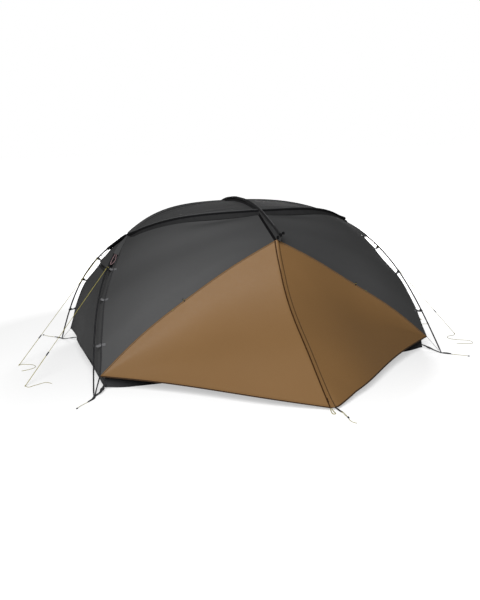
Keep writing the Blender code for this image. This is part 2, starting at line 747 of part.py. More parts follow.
def guy_tail(corner):
    """The loose end of a guyline on the ground, from its anchor, as drawn for that corner."""
    tails = {
        "front_left": [(-1.570, -0.366), (-1.540, -0.350), (-1.510, -0.335), (-1.458, -0.314),
                       (-1.424, -0.349)],
        "back_left": [(-1.566, 0.146), (-1.540, 0.136), (-1.510, 0.120), (-1.487, 0.049), (-1.520, 0.015),
                      (-1.582, -0.005)],
        "front_right": [(1.570, -0.362), (1.520, -0.372), (1.480, -0.411), (1.516, -0.486), (1.582, -0.548),
                        (1.570, -0.598), (1.455, -0.562)],
        "back_right": [(1.566, 0.146), (1.540, 0.136), (1.510, 0.120), (1.487, 0.049), (1.520, 0.015),
                       (1.582, -0.005)],
    }
    return tails[corner]


def make_guyline(corner, signs, leg):
    """A taut guyline from the top clip to its anchor, with a slider on it and its loose end."""
    sign_x, sign_y = signs
    leg = leg * np.array([sign_x, np.sign(leg[-1][1]) * sign_y, 1])
    top, along = clip_places(leg)[0]
    anchor_y = GUY_ANCHOR_Y["front" if sign_y < 0 else "back"]
    anchor = np.array([sign_x * GUY_REACH, anchor_y, CORD_RADIUS + 0.0006])
    top = top + outward(anchor - top, along) * (HOOK_RIM + CORD_RADIUS)
    line = unit(anchor - top)
    length = np.linalg.norm(anchor - top)
    slider_top, slider_end = SLIDER_SPAN
    shares = [0.0, 0.25, 0.5, slider_top - 0.005, slider_top, slider_end, slider_end + 0.005, 0.87]
    taut = [top + line * length * share for share in shares] + [anchor - line * 0.04]
    swell = SLIDER_RADIUS / CORD_RADIUS
    sizes = [1, 1, 1, 1, swell, swell, 1, 1, 1]
    turn = [anchor - line * 0.020, anchor - line * 0.006 + np.array([0, 0, 0.0008])]
    loose = [np.array([x, y, CORD_RADIUS + 0.0002]) for x, y in guy_tail(corner)]
    bend = sampled(turn + loose, 18)
    path = np.array(taut + list(bend))
    path[len(taut) + 2:, 2] = np.maximum(path[len(taut) + 2:, 2], CORD_RADIUS + 0.0002)
    radii = [CORD_RADIUS * s for s in sizes] + [CORD_RADIUS] * len(bend)
    rings = round_rings(path, radii, 6, start_up=(0, 1, 0))
    for ring in rings:
        for p in ring:
            p[2] = max(p[2], 0.0)
    lofted("guyline_" + corner, rings, "yellow cord")


def make_vestibule_tie(side, turn):
    """The strap under the toe of a door, with the cord that stakes it out."""
    run = [
        (0.000, -1.4575, 0.0185, 0.010, 0.002),
        (0.003, -1.4690, 0.0120, 0.012, 0.002),
        (0.020, -1.4780, 0.0050, 0.014, 0.002),
        (0.040, -1.4880, 0.0022, 0.014, 0.002),
        (0.054, -1.5030, 0.0022, 0.008, 0.003),
        (0.055, -1.5200, 0.0022, 0.003, 0.003),
        (0.050, -1.5500, 0.0022, 0.003, 0.003),
        (0.047, -1.5800, 0.0022, 0.003, 0.003),
        (0.047, -1.5880, 0.0040, 0.008, 0.008),
        (0.049, -1.5960, 0.0040, 0.008, 0.008),
        (0.051, -1.6040, 0.0022, 0.003, 0.003),
        (0.060, -1.6400, 0.0022, 0.003, 0.003),
        (0.073, -1.6830, 0.0022, 0.003, 0.003),
    ]
    path = [(turn * x, turn * y, z) for x, y, z, width, height in run]
    widths = [width for x, y, z, width, height in run]
    heights = [height for x, y, z, width, height in run]
    ribbon("toe_strap_" + side, path, [(0, 0, 1)] * len(path), widths, heights, "webbing")


def make_tent():
    line, first, last = hoop()
    front = lifted(line, first, last, 1)
    back = flipped(lifted(line, first, last, -1), 1, -1)
    curves = quarter_curves()
    grids = fly_grids(curves)
    normals = shared_normals({name: entry[0] for name, entry in grids.items()})
    make_fly(grids, normals)
    make_poles(front, back)
    make_arch_sleeves(front, back, first, last)
    make_brow(curves)
    front_leg, back_leg = leg_points(front, first), leg_points(back, first)
    for corner, signs in CORNERS.items():
        leg = back_leg if signs[1] < 0 else front_leg
        make_leg(corner, signs, leg, curves, normals)
        make_guyline(corner, signs, leg)
        make_corner_strap(corner, signs)
    for side, sign in SIDES.items():
        make_door(side, -sign, curves, grids)
        make_vestibule_tie(side, -sign)
    for name, sign in ENDS.items():
        make_vent_hood(name, sign, grids, normals)
    make_tub()


clear_scene()
make_tent()
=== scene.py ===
"""Two-person tent, pitched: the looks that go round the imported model, in the same frame and in metres.

The tent's length runs along X, its vestibules point to -Y (front) and +Y (back), and the origin is on
the ground under its middle. Cloth, sleeves, straps and cords are drawn again with the source's sizes.
"""
import math

import bmesh
import bpy
import numpy as np
from mathutils import Matrix, Vector


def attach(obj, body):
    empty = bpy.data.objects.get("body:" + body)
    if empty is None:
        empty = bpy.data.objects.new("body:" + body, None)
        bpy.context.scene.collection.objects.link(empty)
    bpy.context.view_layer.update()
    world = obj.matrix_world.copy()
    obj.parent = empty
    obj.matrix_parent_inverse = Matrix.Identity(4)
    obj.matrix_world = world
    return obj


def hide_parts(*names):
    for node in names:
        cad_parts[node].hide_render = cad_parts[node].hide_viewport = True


bl_info = {
    "name": "Pitched Two-Person Tent",
    "version": (1, 0, 0),
    "blender": (4, 5, 0),
    "location": "3D View > Sidebar > Tent",
    "description": "Dresses a packed two-person tent in cloth, poles, webbing and cords",
    "category": "Object",
}

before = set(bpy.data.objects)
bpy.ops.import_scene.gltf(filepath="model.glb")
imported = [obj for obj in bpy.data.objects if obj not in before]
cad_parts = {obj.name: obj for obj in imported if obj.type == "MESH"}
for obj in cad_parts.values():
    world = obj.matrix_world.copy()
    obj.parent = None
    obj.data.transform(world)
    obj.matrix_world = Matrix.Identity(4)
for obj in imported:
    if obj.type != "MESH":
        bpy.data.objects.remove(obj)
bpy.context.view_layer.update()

# The source's driving sizes, as points of the quarter with x > 0 and y > 0
FOOT = (1.22, 0.722)
CROSSING = (0.819, 0.0, 0.871)
ARCH_CROWN = (0.0, 0.341, 1.031)
BROW_CROWN_Z = 1.079
BROW_TIP = (0.735, 0.914)
FLY_APEX = (0.0, 0.668, 0.874)
FLY_CORNER = (1.159, 0.622, 0.098)
VESTIBULE_TOE = (0.0, 1.458, 0.02)
GUY_REACH = 1.59
GUY_ANCHOR_Y = {"front": -0.342, "back": 0.127}
LEG_BOW = [(1.157, 0.484, 0.327), (1.038, 0.244, 0.635)]
ARCH_BOW = [(0.449, 0.243, 1.008)]
BROW_BOW = [(0.105, 1.0775), (0.2, 1.068), (0.341, 1.0455), (0.53, 0.989), (0.66, 0.943)]
CORNER_SEAM = [(0.909, 0.134, 0.761), (1.005, 0.25, 0.606), (1.075, 0.391, 0.474), (1.121, 0.522, 0.295)]
COLOUR_SEAM = [(0.294, 0.627, 0.714), (0.587, 0.597, 0.527), (0.874, 0.605, 0.337)]
VESTIBULE_HEM = [(0.851, 0.826, 0.085), (0.564, 1.064, 0.072), (0.284, 1.304, 0.056)]
DOOR_RIDGE = [(0.0, 0.733, 0.678), (0.0, 0.935, 0.426), (0.0, 1.125, 0.281), (0.0, 1.306, 0.137)]
END_HEM = [(1.161, 0.35, 0.117), (1.174, 0.0, 0.12), (1.161, -0.35, 0.117)]
ROOF_RISE = 0.03
ROOF_RISE_REACH = 0.55

# The tub's outline in that quarter: the source's, drawn in at the corner where its strap pulls
TUB_OUTLINE = [(1.13, 0.0), (1.132, 0.3), (1.137, 0.592), (0.8, 0.613), (0.4, 0.634), (0.0, 0.642)]

# How far the whole tub lies to the right, how far the straps lift its corners, and how far that lift reaches
TUB_SHIFT = 0.01
TUB_CORNER_LIFT = 0.014
TUB_LIFT_REACH = 0.08

# Sections, as in the source
POLE_RADIUS = 0.0048
CLOTH_SPACE = 0.002
GAP = 0.0003
SLEEVE_HALF_WIDTH = 0.0165
SLEEVE_HALF_HEIGHT = 0.0066
LEG_SLEEVE_RADIUS = 0.007
CROSSING_LIFT = 0.0054
CROSSING_REACH = 0.13
FLOOR_THICKNESS = 0.003
TUB_HEIGHT = 0.072
TUB_LEAN = 0.01
WEBBING_WIDTH = 0.014
HOOK_RIM = POLE_RADIUS + 0.0025
CORD_RADIUS = 0.0016
FLAP_WIDTH = 0.038
FLAP_SHARE = 0.47
CLIP_STATIONS = (0.319, 0.559, 0.889)

# Where a leg's sleeve starts and ends: down the leg, and down the corner seam that it is sewn to
GUSSET_REACH = (0.012, 0.035, 0.2)
GUSSET_SEWN = (0.01, 0.03, 0.145)

# How far the corner seam is drawn in: above the first clip, between the clips, and below the last
SCALLOPS = (0.002, 0.0005, 0.004, 0.003)

# Other forms of the cloth: the hollow below an arch, the toe drawn out flat, and the roof's folds
HOLLOW_DEPTH = 0.02
HOLLOW_AT = (0.12, 0.7)
HOLLOW_SPREAD = (0.07, 0.2)
TOE_FLAT = (0.032, 0.014, -0.003)
TOE_FLAT_REACH = 0.25
ROOF_FOLD = 0.005
ROOF_FOLDS_AT = (0.16, 0.84)
ROOF_FOLD_WIDTH = 0.045

# Folds of taut cloth: the points that pull it, with how many folds leave each and how far they reach,
# and the long waves of its slack, each with its strength
PULLS = [(FLY_CORNER, 9.0, 0.55), (FLY_APEX, 7.0, 0.4), (VESTIBULE_TOE, 8.0, 0.45), (CROSSING, 8.0, 0.3)]
SLACK_WAVES = (((3.1, 5.3, -4.2), 0.8), ((-6.4, 2.2, 7.1), 0.5), ((11.0, -7.5, 9.0), 0.25))
PULL_SIDE = (0.5, -0.4, 0.9)

# Steps of the fine cloth grids
ARCH_STEPS = 60
SEAM_STEPS = 48
DOOR_STEPS = 48
END_STEPS = 40
ROOF_STEPS = 30
LEG_STEPS = 60

# Camera, solved from the photograph
CAMERA_AT = (-1.908, -5.343, 1.647)
CAMERA_YAW = 0.34
CAMERA_PITCH = 0.226
CAMERA_ROLL = -0.017
CAMERA_LENS = 48.1
SENSOR = 36.0

CORNERS = {"front_left": (-1, -1), "front_right": (1, -1), "back_left": (-1, 1), "back_right": (1, 1)}
SIDES = {"front": -1, "back": 1}
ENDS = {"left": -1, "right": 1}

# Doors and toes are made at the front, and turned round the tent's middle for the back
HALF_TURNS = {"front": np.array([1, 1, 1]), "back": np.array([-1, -1, 1])}

INSIDE = np.array([0.0, 0.0, 0.2])
UP = np.array([0.0, 0.0, 1.0])


# Curves and surfaces

def unit(vectors):
    vectors = np.asarray(vectors, float)
    return vectors / np.maximum(np.linalg.norm(vectors, axis=-1, keepdims=True), 1e-12)


def run_of(path):
    """The distance along a path at each of its points."""
    return np.concatenate([[0.0], np.cumsum(np.linalg.norm(np.diff(path, axis=0), axis=1))])


def spline(points):
    """Natural cubic through points: its knots, a chord length apart, and a function of knot values."""
    points = np.array(points, float)
    knots = run_of(points)
    spans = np.diff(knots)
    system = np.eye(len(points))
    right = np.zeros_like(points)
    slopes = np.diff(points, axis=0) / spans[:, None]
    for i in range(1, len(points) - 1):
        system[i, i - 1:i + 2] = spans[i - 1], 2 * (spans[i - 1] + spans[i]), spans[i]
        right[i] = 6 * (slopes[i] - slopes[i - 1])
    bend = np.linalg.solve(system, right)

    def at(values):
        i = np.clip(np.searchsorted(knots, values) - 1, 0, len(spans) - 1)
        span = spans[i][:, None]
        after, before = (knots[i + 1] - values)[:, None], (values - knots[i])[:, None]
        cubic = (bend[i] * after ** 3 + bend[i + 1] * before ** 3) / (6 * span)
        start = (points[i] / span - bend[i] * span / 6) * after
        return cubic + start + (points[i + 1] / span - bend[i + 1] * span / 6) * before

    return knots, at


def sampled(points, steps):
    knots, at = spline(points)
    return at(np.linspace(0, knots[-1], steps + 1))


def tangents(path):
    return unit(np.gradient(path, axis=0))


def square_to(vectors, lines):
    """Vectors made square to lines, and of length 1."""
    vectors = np.broadcast_to(np.asarray(vectors, float), lines.shape)
    return unit(vectors - lines * np.sum(vectors * lines, axis=-1, keepdims=True))


def outward(path):
    return square_to(path, tangents(path))


def mirrored(points, sign_x, sign_y):
    return points * np.array([sign_x, sign_y, 1])


def smooth(share):
    share = np.clip(share, 0, 1)
    return share * share * (3 - 2 * share)


def along(path, distances, run=None):
    """Points of a path at distances from its start, or at places along another run."""
    run = run_of(path) if run is None else run
    return np.stack([np.interp(distances, run, path[:, k]) for k in range(3)], axis=-1)


def hoop():
    """The pole that stands at the back and arches to the front, from its left foot to its right foot."""
    leg = [(FOOT[0], FOOT[1], 0.0)] + LEG_BOW + [CROSSING]
    arch = [(x, -y, z) for x, y, z in ARCH_BOW] + [(0.0, -ARCH_CROWN[1], ARCH_CROWN[2])]
    half = leg + arch
    knots, at = spline(half + [(-x, y, z) for x, y, z in reversed(half[:-1])])
    near, far = knots[len(leg) - 1], knots[-len(leg)]
    legs = [np.linspace(0, near, LEG_STEPS + 1), np.linspace(far, knots[-1], LEG_STEPS + 1)]
    values = np.concatenate([legs[0], np.linspace(near, far, 2 * ARCH_STEPS + 1)[1:-1], legs[1]])
    return at(values)[::-1]


# Where a hoop crosses the other one, among its points
FIRST, LAST = LEG_STEPS, LEG_STEPS + 2 * ARCH_STEPS


def crossing_offsets(path):
    """Along a hoop: its outward directions, and how near each point is to a crossing, from 0 to 1."""
    run = run_of(path)
    away = np.minimum(abs(run - run[FIRST]), abs(run - run[LAST]))
    share = np.cos(math.pi / 2 * np.minimum(away / CROSSING_REACH, 1)) ** 2
    ways = outward(path)
    ways[:, 1] *= 1 - share
    return unit(ways), share[:, None]


def hoops():
    """The front pole, which passes over at the crossings, and the back pole, which passes under."""
    line = hoop()
    ways, share = crossing_offsets(line)
    front = line + ways * CROSSING_LIFT * share
    back = line - ways * CROSSING_LIFT * share
    return front, mirrored(back, 1, -1)


def four_sided(low, high, start, end):
    v, u = np.linspace(0, 1, len(start))[:, None, None], np.linspace(0, 1, len(low))[None, :, None]
    across = (1 - v) * low[None] + v * high[None]
    down = (1 - u) * start[:, None] + u * end[:, None]
    flat = (1 - v) * ((1 - u) * low[0] + u * low[-1]) + v * ((1 - u) * high[0] + u * high[-1])
    return across + down - flat


def three_sided(first, second, base):
    """Patch whose first row is one point, where first and second start; base joins their far ends."""
    u, v = np.linspace(0, 1, len(first))[:, None, None], np.linspace(0, 1, len(base))[None, :, None]
    bow = base[None] - (1 - v) * first[-1] - v * second[-1]
    return (1 - v) * first[:, None] + v * second[:, None] + u * bow


def scalloped(seam, leg):
    """The corner seam, drawn in a little between the places where the clips pull it to the pole."""
    run = run_of(seam)
    held = [GUSSET_SEWN[-1]]
    for station in CLIP_STATIONS:
        point, ahead = along(leg, [station, station + 0.01])
        held.append(run[np.argmin(abs((seam - point) @ unit(ahead - point)))])
    held.append(run[-1])
    depth = np.zeros(len(run))
    for start, stop, most in zip(held, held[1:], SCALLOPS):
        share = np.clip((run - start) / (stop - start), 0, 1)
        depth += most * np.sin(math.pi * share) ** 1.4
    return seam - outward(seam) * depth[:, None]


def quarter_curves():
    """The seams of the quarter with x > 0 and y > 0."""
    line = hoop()
    ways, share = crossing_offsets(line)
    drop = SLEEVE_HALF_HEIGHT + 2 * GAP + CLOTH_SPACE / 2 + CROSSING_LIFT * share
    under = (line - ways * drop)[FIRST:LAST + 1][::-1]
    arch = mirrored(under[:ARCH_STEPS + 1], 1, -1)
    return {
        "arch": arch,
        "corner": scalloped(sampled([arch[0]] + CORNER_SEAM + [FLY_CORNER], SEAM_STEPS), line[LAST:]),
        "colour": sampled([FLY_APEX] + COLOUR_SEAM + [FLY_CORNER], ARCH_STEPS)[::-1],
        "crown": np.linspace(arch[-1], FLY_APEX, SEAM_STEPS + 1),
        "hem": sampled([FLY_CORNER] + VESTIBULE_HEM + [VESTIBULE_TOE], ARCH_STEPS),
        "ridge": sampled([FLY_APEX] + DOOR_RIDGE + [VESTIBULE_TOE], DOOR_STEPS),
    }


def roof_half(arch):
    across = np.linspace(0, 1, ROOF_STEPS + 1)[None, :, None]
    grid = (1 - across) * mirrored(arch, 1, -1)[:, None] + across * arch[:, None]
    near = smooth(1 - np.minimum(abs(arch[:, 0]) / ROOF_RISE_REACH, 1))
    grid[..., 2] += ROOF_RISE * near[:, None] * (4 * across * (1 - across))[..., 0]
    away = smooth(abs(arch[:, 0]) / 0.15) * smooth((CROSSING[0] - abs(arch[:, 0])) / 0.25)
    for place in ROOF_FOLDS_AT:
        grid[..., 2] += ROOF_FOLD * away[:, None] * np.exp(-((across[..., 0] - place) / ROOF_FOLD_WIDTH) ** 2)
    return grid


def grid_normals(grid):
    """Outward directions of a grid; a row that is one point takes those of the next row."""
    down, across = np.gradient(grid, axis=0), np.gradient(grid, axis=1)
    across[0] = across[1] if np.ptp(grid[0], axis=0).max() < 1e-9 else across[0]
    normals = unit(np.cross(down, across))
    middle = grid.shape[0] // 2, grid.shape[1] // 2
    away = np.dot(normals[middle], grid[middle] - INSIDE)
    return normals * (1 if away > 0 else -1)


def hollowed(side):
    """A side panel, drawn in below the arch beside the brow pole, where the cloth hangs free."""
    v, u = np.linspace(0, 1, side.shape[0])[:, None], np.linspace(0, 1, side.shape[1])[None]
    (at_v, at_u), (spread_v, spread_u) = HOLLOW_AT, HOLLOW_SPREAD
    depth = np.exp(-((v - at_v) / spread_v) ** 2 - ((u - at_u) / spread_u) ** 2)
    depth = HOLLOW_DEPTH * depth * smooth(v / 0.07) * smooth((1 - u) / 0.1)
    return side - grid_normals(side) * depth[..., None]


def flat_toe(door):
    """A door panel whose hem is drawn out sideways at the toe, under the storm flap's end."""
    away = np.linalg.norm(door - np.array(VESTIBULE_TOE), axis=-1)
    share = np.clip(1 - away / TOE_FLAT_REACH, 0, 1) * (1 - np.exp(-door[..., 0] / 0.01))
    return door + share[..., None] * np.array(TOE_FLAT)


def side_panel(sign_x, sign_y):
    return mirrored(PANELS["side"], sign_x, sign_y)


def end_panel(sign):
    return mirrored(PANELS["end"], sign, 1)


def door_panel(sign_x, sign_y):
    """One of the four brown panels; the two under a storm flap have the flat toe."""
    part = "flap door" if sign_x != sign_y else "door"
    return mirrored(PANELS[part], sign_x, sign_y)


def quarter_panels():
    curves = quarter_curves()
    low_corner = (FLY_CORNER[0], -FLY_CORNER[1], FLY_CORNER[2])
    end_hem = sampled([FLY_CORNER] + END_HEM + [low_corner], END_STEPS)
    door = three_sided(curves["colour"], curves["hem"], curves["ridge"])
    return {
        "side": hollowed(four_sided(curves["arch"], curves["colour"], curves["corner"], curves["crown"])),
        "door": door,
        "flap door": flat_toe(door),
        "end": three_sided(curves["corner"], mirrored(curves["corner"], 1, -1), end_hem),
        "roof": roof_half(curves["arch"]),
    }


CURVES = quarter_curves()
PANELS = quarter_panels()
FRONT_POLE, BACK_POLE = hoops()


def folds(points):
    """How far taut cloth stands off its smooth surface: folds that run from the pulled corners, and slack."""
    height = np.zeros(points.shape[:-1])
    quarter = np.stack([abs(points[..., 0]), abs(points[..., 1]), points[..., 2]], axis=-1)
    for anchor, count, reach in PULLS:
        way = quarter - np.array(anchor)
        far = np.linalg.norm(way, axis=-1)
        way = unit(way)
        swing = way @ unit(PULL_SIDE)
        ripple = np.sin(2 * count * swing + 1.3 * np.sin(4 * way[..., 1] + 2 * points[..., 0]))
        height += 0.9 * ripple * np.exp(-far / reach) * smooth(far / 0.12)
    for wave, strength in SLACK_WAVES:
        height += strength * np.sin(points @ np.array(wave) + 2 * np.sin(points @ np.array(wave[::-1]) * 0.4))
    return height * bpy.context.scene.tent_look.fold_height


def slackened(grid, free=()):
    """A panel with its folds: none at its sewn edges, and some at the edges named in free."""
    rows, columns = grid.shape[:2]
    v, u = np.linspace(0, 1, rows)[:, None], np.linspace(0, 1, columns)[None]
    ease = {"low": v, "high": 1 - v, "start": u, "end": 1 - u}
    mask = np.ones((rows, columns))
    for side, share in ease.items():
        mask = mask * (1 if side in free else smooth(share * 5))
    return grid + grid_normals(grid) * (folds(grid) * mask)[..., None]


def edge(grid, side):
    """One edge of a panel: its points, the directions from it into the panel, and the outward ones."""
    columns = grid.swapaxes(0, 1)
    rows = {"low": grid, "high": grid[::-1], "start": columns, "end": columns[::-1]}[side]
    line = rows[0]
    inward = square_to(rows[2] - line, tangents(line))
    inward[0], inward[-1] = inward[1], inward[-2]
    normals = np.cross(tangents(line), inward)
    middle = len(line) // 2
    away = np.dot(normals[middle], line[middle] - INSIDE)
    return line, inward, normals * (1 if away > 0 else -1)


# Meshes

def deselect():
    bpy.ops.object.select_all(action="DESELECT")


def chosen(piece):
    deselect()
    bpy.context.view_layer.objects.active = piece
    piece.select_set(True)
    return piece


def applied(piece, kind, **settings):
    """Add a modifier with its settings, and apply it."""
    chosen(piece)
    made = piece.modifiers.new(kind.title(), kind)
    for name, value in settings.items():
        setattr(made, name, value)
    bpy.ops.object.modifier_apply(modifier=made.name)
    return piece


def gathered(name, pieces, finish=None):
    """Several meshes joined as one piece."""
    chosen(pieces[0])
    for other in pieces[1:]:
        other.select_set(True)
    if len(pieces) > 1:
        bpy.ops.object.join()
    piece = pieces[0]
    piece.name = name
    piece.data.name = name
    if finish:
        piece.data.materials.clear()
        piece.data.materials.append(finish)
    return piece


def grid_runs(grid, axis):
    """How far each point of a grid is from its first row (axis 0) or its first column (axis 1)."""
    steps = np.linalg.norm(np.diff(grid, axis=axis), axis=2)
    return np.insert(np.cumsum(steps, axis=axis), 0, 0.0, axis=axis)


def lofted(name, rings, finish, closed=True, sharp=40):
    """A mesh through rings of points, with a UV map in metres: along the rings' line, and round them."""
    rings = np.asarray(rings, float)
    rows, columns = rings.shape[:2]
    wrap = np.concatenate([rings, rings[:, :1]], axis=1) if closed else rings
    u, v = grid_runs(wrap, 0), grid_runs(wrap, 1)
    faces, corners = [], []
    for i in range(rows - 1):
        for j in range(wrap.shape[1] - 1):
            k = (j + 1) % columns
            faces.append((i * columns + j, i * columns + k, (i + 1) * columns + k, (i + 1) * columns + j))
            corners += [(i, j), (i, j + 1), (i + 1, j + 1), (i + 1, j)]
    if closed:
        for row in (0, rows - 1):
            faces.append(tuple(row * columns + j for j in range(columns)))
            corners += [(row, j) for j in range(columns)]
    mesh = bpy.data.meshes.new(name)
    mesh.from_pydata(rings.reshape(-1, 3), [], faces)
    corners = np.array(corners)
    layer = mesh.uv_layers.new(name="UVMap")
    places = np.stack([u[corners[:, 0], corners[:, 1]], v[corners[:, 0], corners[:, 1]]], axis=1)
    layer.data.foreach_set("uv", places.astype(np.float32).ravel())
    shape = bmesh.new()
    shape.from_mesh(mesh)
    bmesh.ops.remove_doubles(shape, verts=shape.verts, dist=1e-6)
    if closed:
        bmesh.ops.recalc_face_normals(shape, faces=shape.faces)
    shape.to_mesh(mesh)
    shape.free()
    mesh.materials.append(finish)
    piece = bpy.data.objects.new(name, mesh)
    bpy.context.scene.collection.objects.link(piece)
    smoothed(piece, sharp)
    return piece


def smoothed(piece, sharp=40):
    chosen(piece)
    bpy.ops.object.shade_smooth_by_angle(angle=math.radians(sharp))
    return piece


def swept(name, path, ups, sections, finish, **extra):
    """A section of (side, up) offsets carried along a path; sections may also be one for each point."""
    path = np.asarray(path, float)
    lines = tangents(path)
    ups = square_to(ups, lines)
    sides = np.cross(lines, ups)
    sections = np.asarray(sections, float)
    sections = np.broadcast_to(sections, (len(path),) + sections.shape[-2:])
    rings = path[:, None] + sections[..., :1] * sides[:, None] + sections[..., 1:] * ups[:, None]
    return lofted(name, rings, finish, **extra)


def carried_up(path):
    """An up direction carried along a path without twisting, from +Y at its start."""
    up = np.array([0.0, 1.0, 0.0])
    ups = []
    for line in tangents(path):
        up = unit(up - line * np.dot(up, line))
        ups.append(up)
    return np.array(ups)


def circle(radius, sides):
    turns = np.linspace(0, 2 * math.pi, sides, endpoint=False)
    return np.stack([np.cos(turns), np.sin(turns)], axis=1) * radius


def tube(name, path, radii, finish, sides=12):
    """A round piece along a path; radii is a number, or one for each point."""
    path = np.asarray(path, float)
    radii = np.broadcast_to(radii, (len(path),))
    sections = circle(1.0, sides)[None] * radii[:, None, None]
    return swept(name, path, carried_up(path), sections, finish, sharp=50)


def turned(name, path, profile, finish, sides=16):
    """A round piece along a path, from a profile of distances and radii."""
    return tube(name, along(path, [d for d, r in profile]), [r for d, r in profile], finish, sides)


def strap_section(width, height):
    """A flat woven strap's section, with rounded edges."""
    half, tall = width / 2, height / 2
    turns = np.linspace(-math.pi / 2, math.pi / 2, 5)
    edge_right = [(half - tall + tall * math.cos(t), tall * math.sin(t)) for t in turns]
    edge_left = [(-s, h) for s, h in reversed(edge_right)]
    return np.array([(0.0, -tall)] + edge_right + [(0.0, tall)] + edge_left)


def strap(name, path, ups, width, height, finish):
    """A strap along a path; width and height are numbers, or one for each point."""
    widths, heights = np.broadcast_to(width, (len(path),)), np.broadcast_to(height, (len(path),))
    sections = [strap_section(w, h) for w, h in zip(widths, heights)]
    return swept(name, path, ups, sections, finish, sharp=60)


def cloth(name, grids, finish, thickness=None):
    """One sheet sewn of panels: grids of points laid edge to edge, given the cloth's thickness."""
    thickness = thickness or bpy.context.scene.tent_look.cloth_thickness
    pieces = []
    for grid in grids:
        grid = np.asarray(grid, float)
        down, across = grid[1:, 1:] - grid[:-1, :-1], grid[:-1, 1:] - grid[1:, :-1]
        middle = down.shape[0] // 2, down.shape[1] // 2
        facing = np.dot(np.cross(down[middle], across[middle]), grid[middle] - INSIDE)
        pieces.append(lofted(name, grid if facing < 0 else grid[:, ::-1], finish, closed=False))
    piece = gathered(name, pieces, finish)
    shape = bmesh.new()
    shape.from_mesh(piece.data)
    bmesh.ops.remove_doubles(shape, verts=shape.verts, dist=2e-5)
    shape.to_mesh(piece.data)
    shape.free()
    applied(piece, "SOLIDIFY", thickness=thickness, offset=0.0, use_even_offset=True)
    return smoothed(piece, 35)


def placed(piece, origin, along_x, up):
    """Put a piece modelled at the origin in its place: its X and Z axes turn to the directions given."""
    x_axis = Vector(unit(along_x))
    z_axis = Vector(up) - x_axis * Vector(up).dot(x_axis)
    z_axis.normalize()
    turn = Matrix((x_axis, z_axis.cross(x_axis), z_axis)).transposed().to_4x4()
    piece.data.transform(Matrix.Translation(Vector(origin)) @ turn)
    return piece


def primitive(kind, name, finish, **settings):
    """A new primitive at the origin, alone in the selection."""
    deselect()
    getattr(bpy.ops.mesh, "primitive_" + kind + "_add")(**settings)
    piece = bpy.context.active_object
    bpy.ops.object.transform_apply()
    piece.name = name
    piece.data.materials.append(finish)
    return piece


def picked(piece, test):
    """Go into edit mode with just the vertices selected that a test of their place picks."""
    if piece.mode == "EDIT":
        bpy.ops.object.mode_set(mode="OBJECT")
    chosen(piece)
    bpy.ops.object.mode_set(mode="EDIT")
    bpy.ops.mesh.select_mode(type="VERT")
    bpy.ops.mesh.select_all(action="DESELECT")
    bpy.ops.object.mode_set(mode="OBJECT")
    for vertex in piece.data.vertices:
        vertex.select = bool(test(vertex.co))
    bpy.ops.object.mode_set(mode="EDIT")


def block(name, size, bevel, finish, segments=3, at=(0, 0, 0)):
    """A rounded block, started from a cube."""
    piece = primitive("cube", name, finish, size=1)
    picked(piece, lambda place: True)
    bpy.ops.transform.resize(value=size, center_override=(0, 0, 0))
    bpy.ops.transform.translate(value=at)
    bpy.ops.object.mode_set(mode="OBJECT")
    applied(piece, "BEVEL", width=bevel, segments=segments, limit_method="NONE")
    return smoothed(piece)


def barrel(name, length, radius, finish, middle=1.0):
    """A round moulded piece along X: rounded at its ends, with a waist or a belly at its middle."""
    piece = primitive("cylinder", name, finish, vertices=18, radius=radius, depth=length,
                      rotation=(0, math.pi / 2, 0))
    picked(piece, lambda place: False)
    bpy.ops.mesh.select_mode(type="EDGE")
    bpy.ops.object.mode_set(mode="OBJECT")
    for rib in piece.data.edges:
        start, stop = (piece.data.vertices[n].co.x for n in rib.vertices)
        rib.select = abs(start - stop) > length / 2
    bpy.ops.object.mode_set(mode="EDIT")
    bpy.ops.mesh.subdivide(number_cuts=5)
    for share in (-2, -1, 0, 1, 2):
        swell = 1 + (middle - 1) * math.cos(share * math.pi / 6) ** 2
        picked(piece, lambda place: abs(place.x - share * length / 6) < length / 20)
        bpy.ops.transform.resize(value=(1, swell, swell), center_override=(0, 0, 0))
    bpy.ops.object.mode_set(mode="OBJECT")
    applied(piece, "BEVEL", width=radius * 0.3, segments=3, angle_limit=math.radians(60))
    return smoothed(piece, 50)


def rod(name, radius, length, at=(0, 0, 0)):
    """A cylinder along Z, which cuts a round hole or starts a hook's ring."""
    return primitive("cylinder", name, finish_of("plastic"), vertices=24, radius=radius, depth=length,
                     location=at)


def fused(piece, others):
    """Join other meshes to a piece, without the faces inside."""
    for other in others:
        applied(piece, "BOOLEAN", operation="UNION", object=other, solver="EXACT")
        bpy.data.objects.remove(other)
    return piece


def cut(piece, cutters):
    """Cut holes through a piece with other meshes."""
    for cutter in cutters:
        applied(piece, "BOOLEAN", operation="DIFFERENCE", object=cutter, solver="EXACT")
        bpy.data.objects.remove(cutter)
    return smoothed(piece)


def copied(piece):
    """A copy with its own mesh."""
    made = piece.copy()
    made.data = piece.data.copy()
    bpy.context.scene.collection.objects.link(made)
    return made


def repeated(name, pattern, places, ways, ups):
    """Many copies of a small pattern as one mesh, with its X axes along ways and its Z axes along ups."""
    points = np.array([vertex.co for vertex in pattern.data.vertices])
    faces = [tuple(face.vertices) for face in pattern.data.polygons]
    sides = np.cross(ups, ways)
    whole = places[:, None] + points[None, :, :1] * ways[:, None] + points[None, :, 1:2] * sides[:, None]
    whole = whole + points[None, :, 2:] * ups[:, None]
    mesh = bpy.data.meshes.new(name)
    count = len(points)
    copies = [tuple(n * count + corner for corner in face) for n in range(len(places)) for face in faces]
    mesh.from_pydata(whole.reshape(-1, 3), [], copies)
    mesh.materials.append(pattern.data.materials[0])
    piece = bpy.data.objects.new(name, mesh)
    bpy.context.scene.collection.objects.link(piece)
    bpy.data.objects.remove(pattern)
    return smoothed(piece)


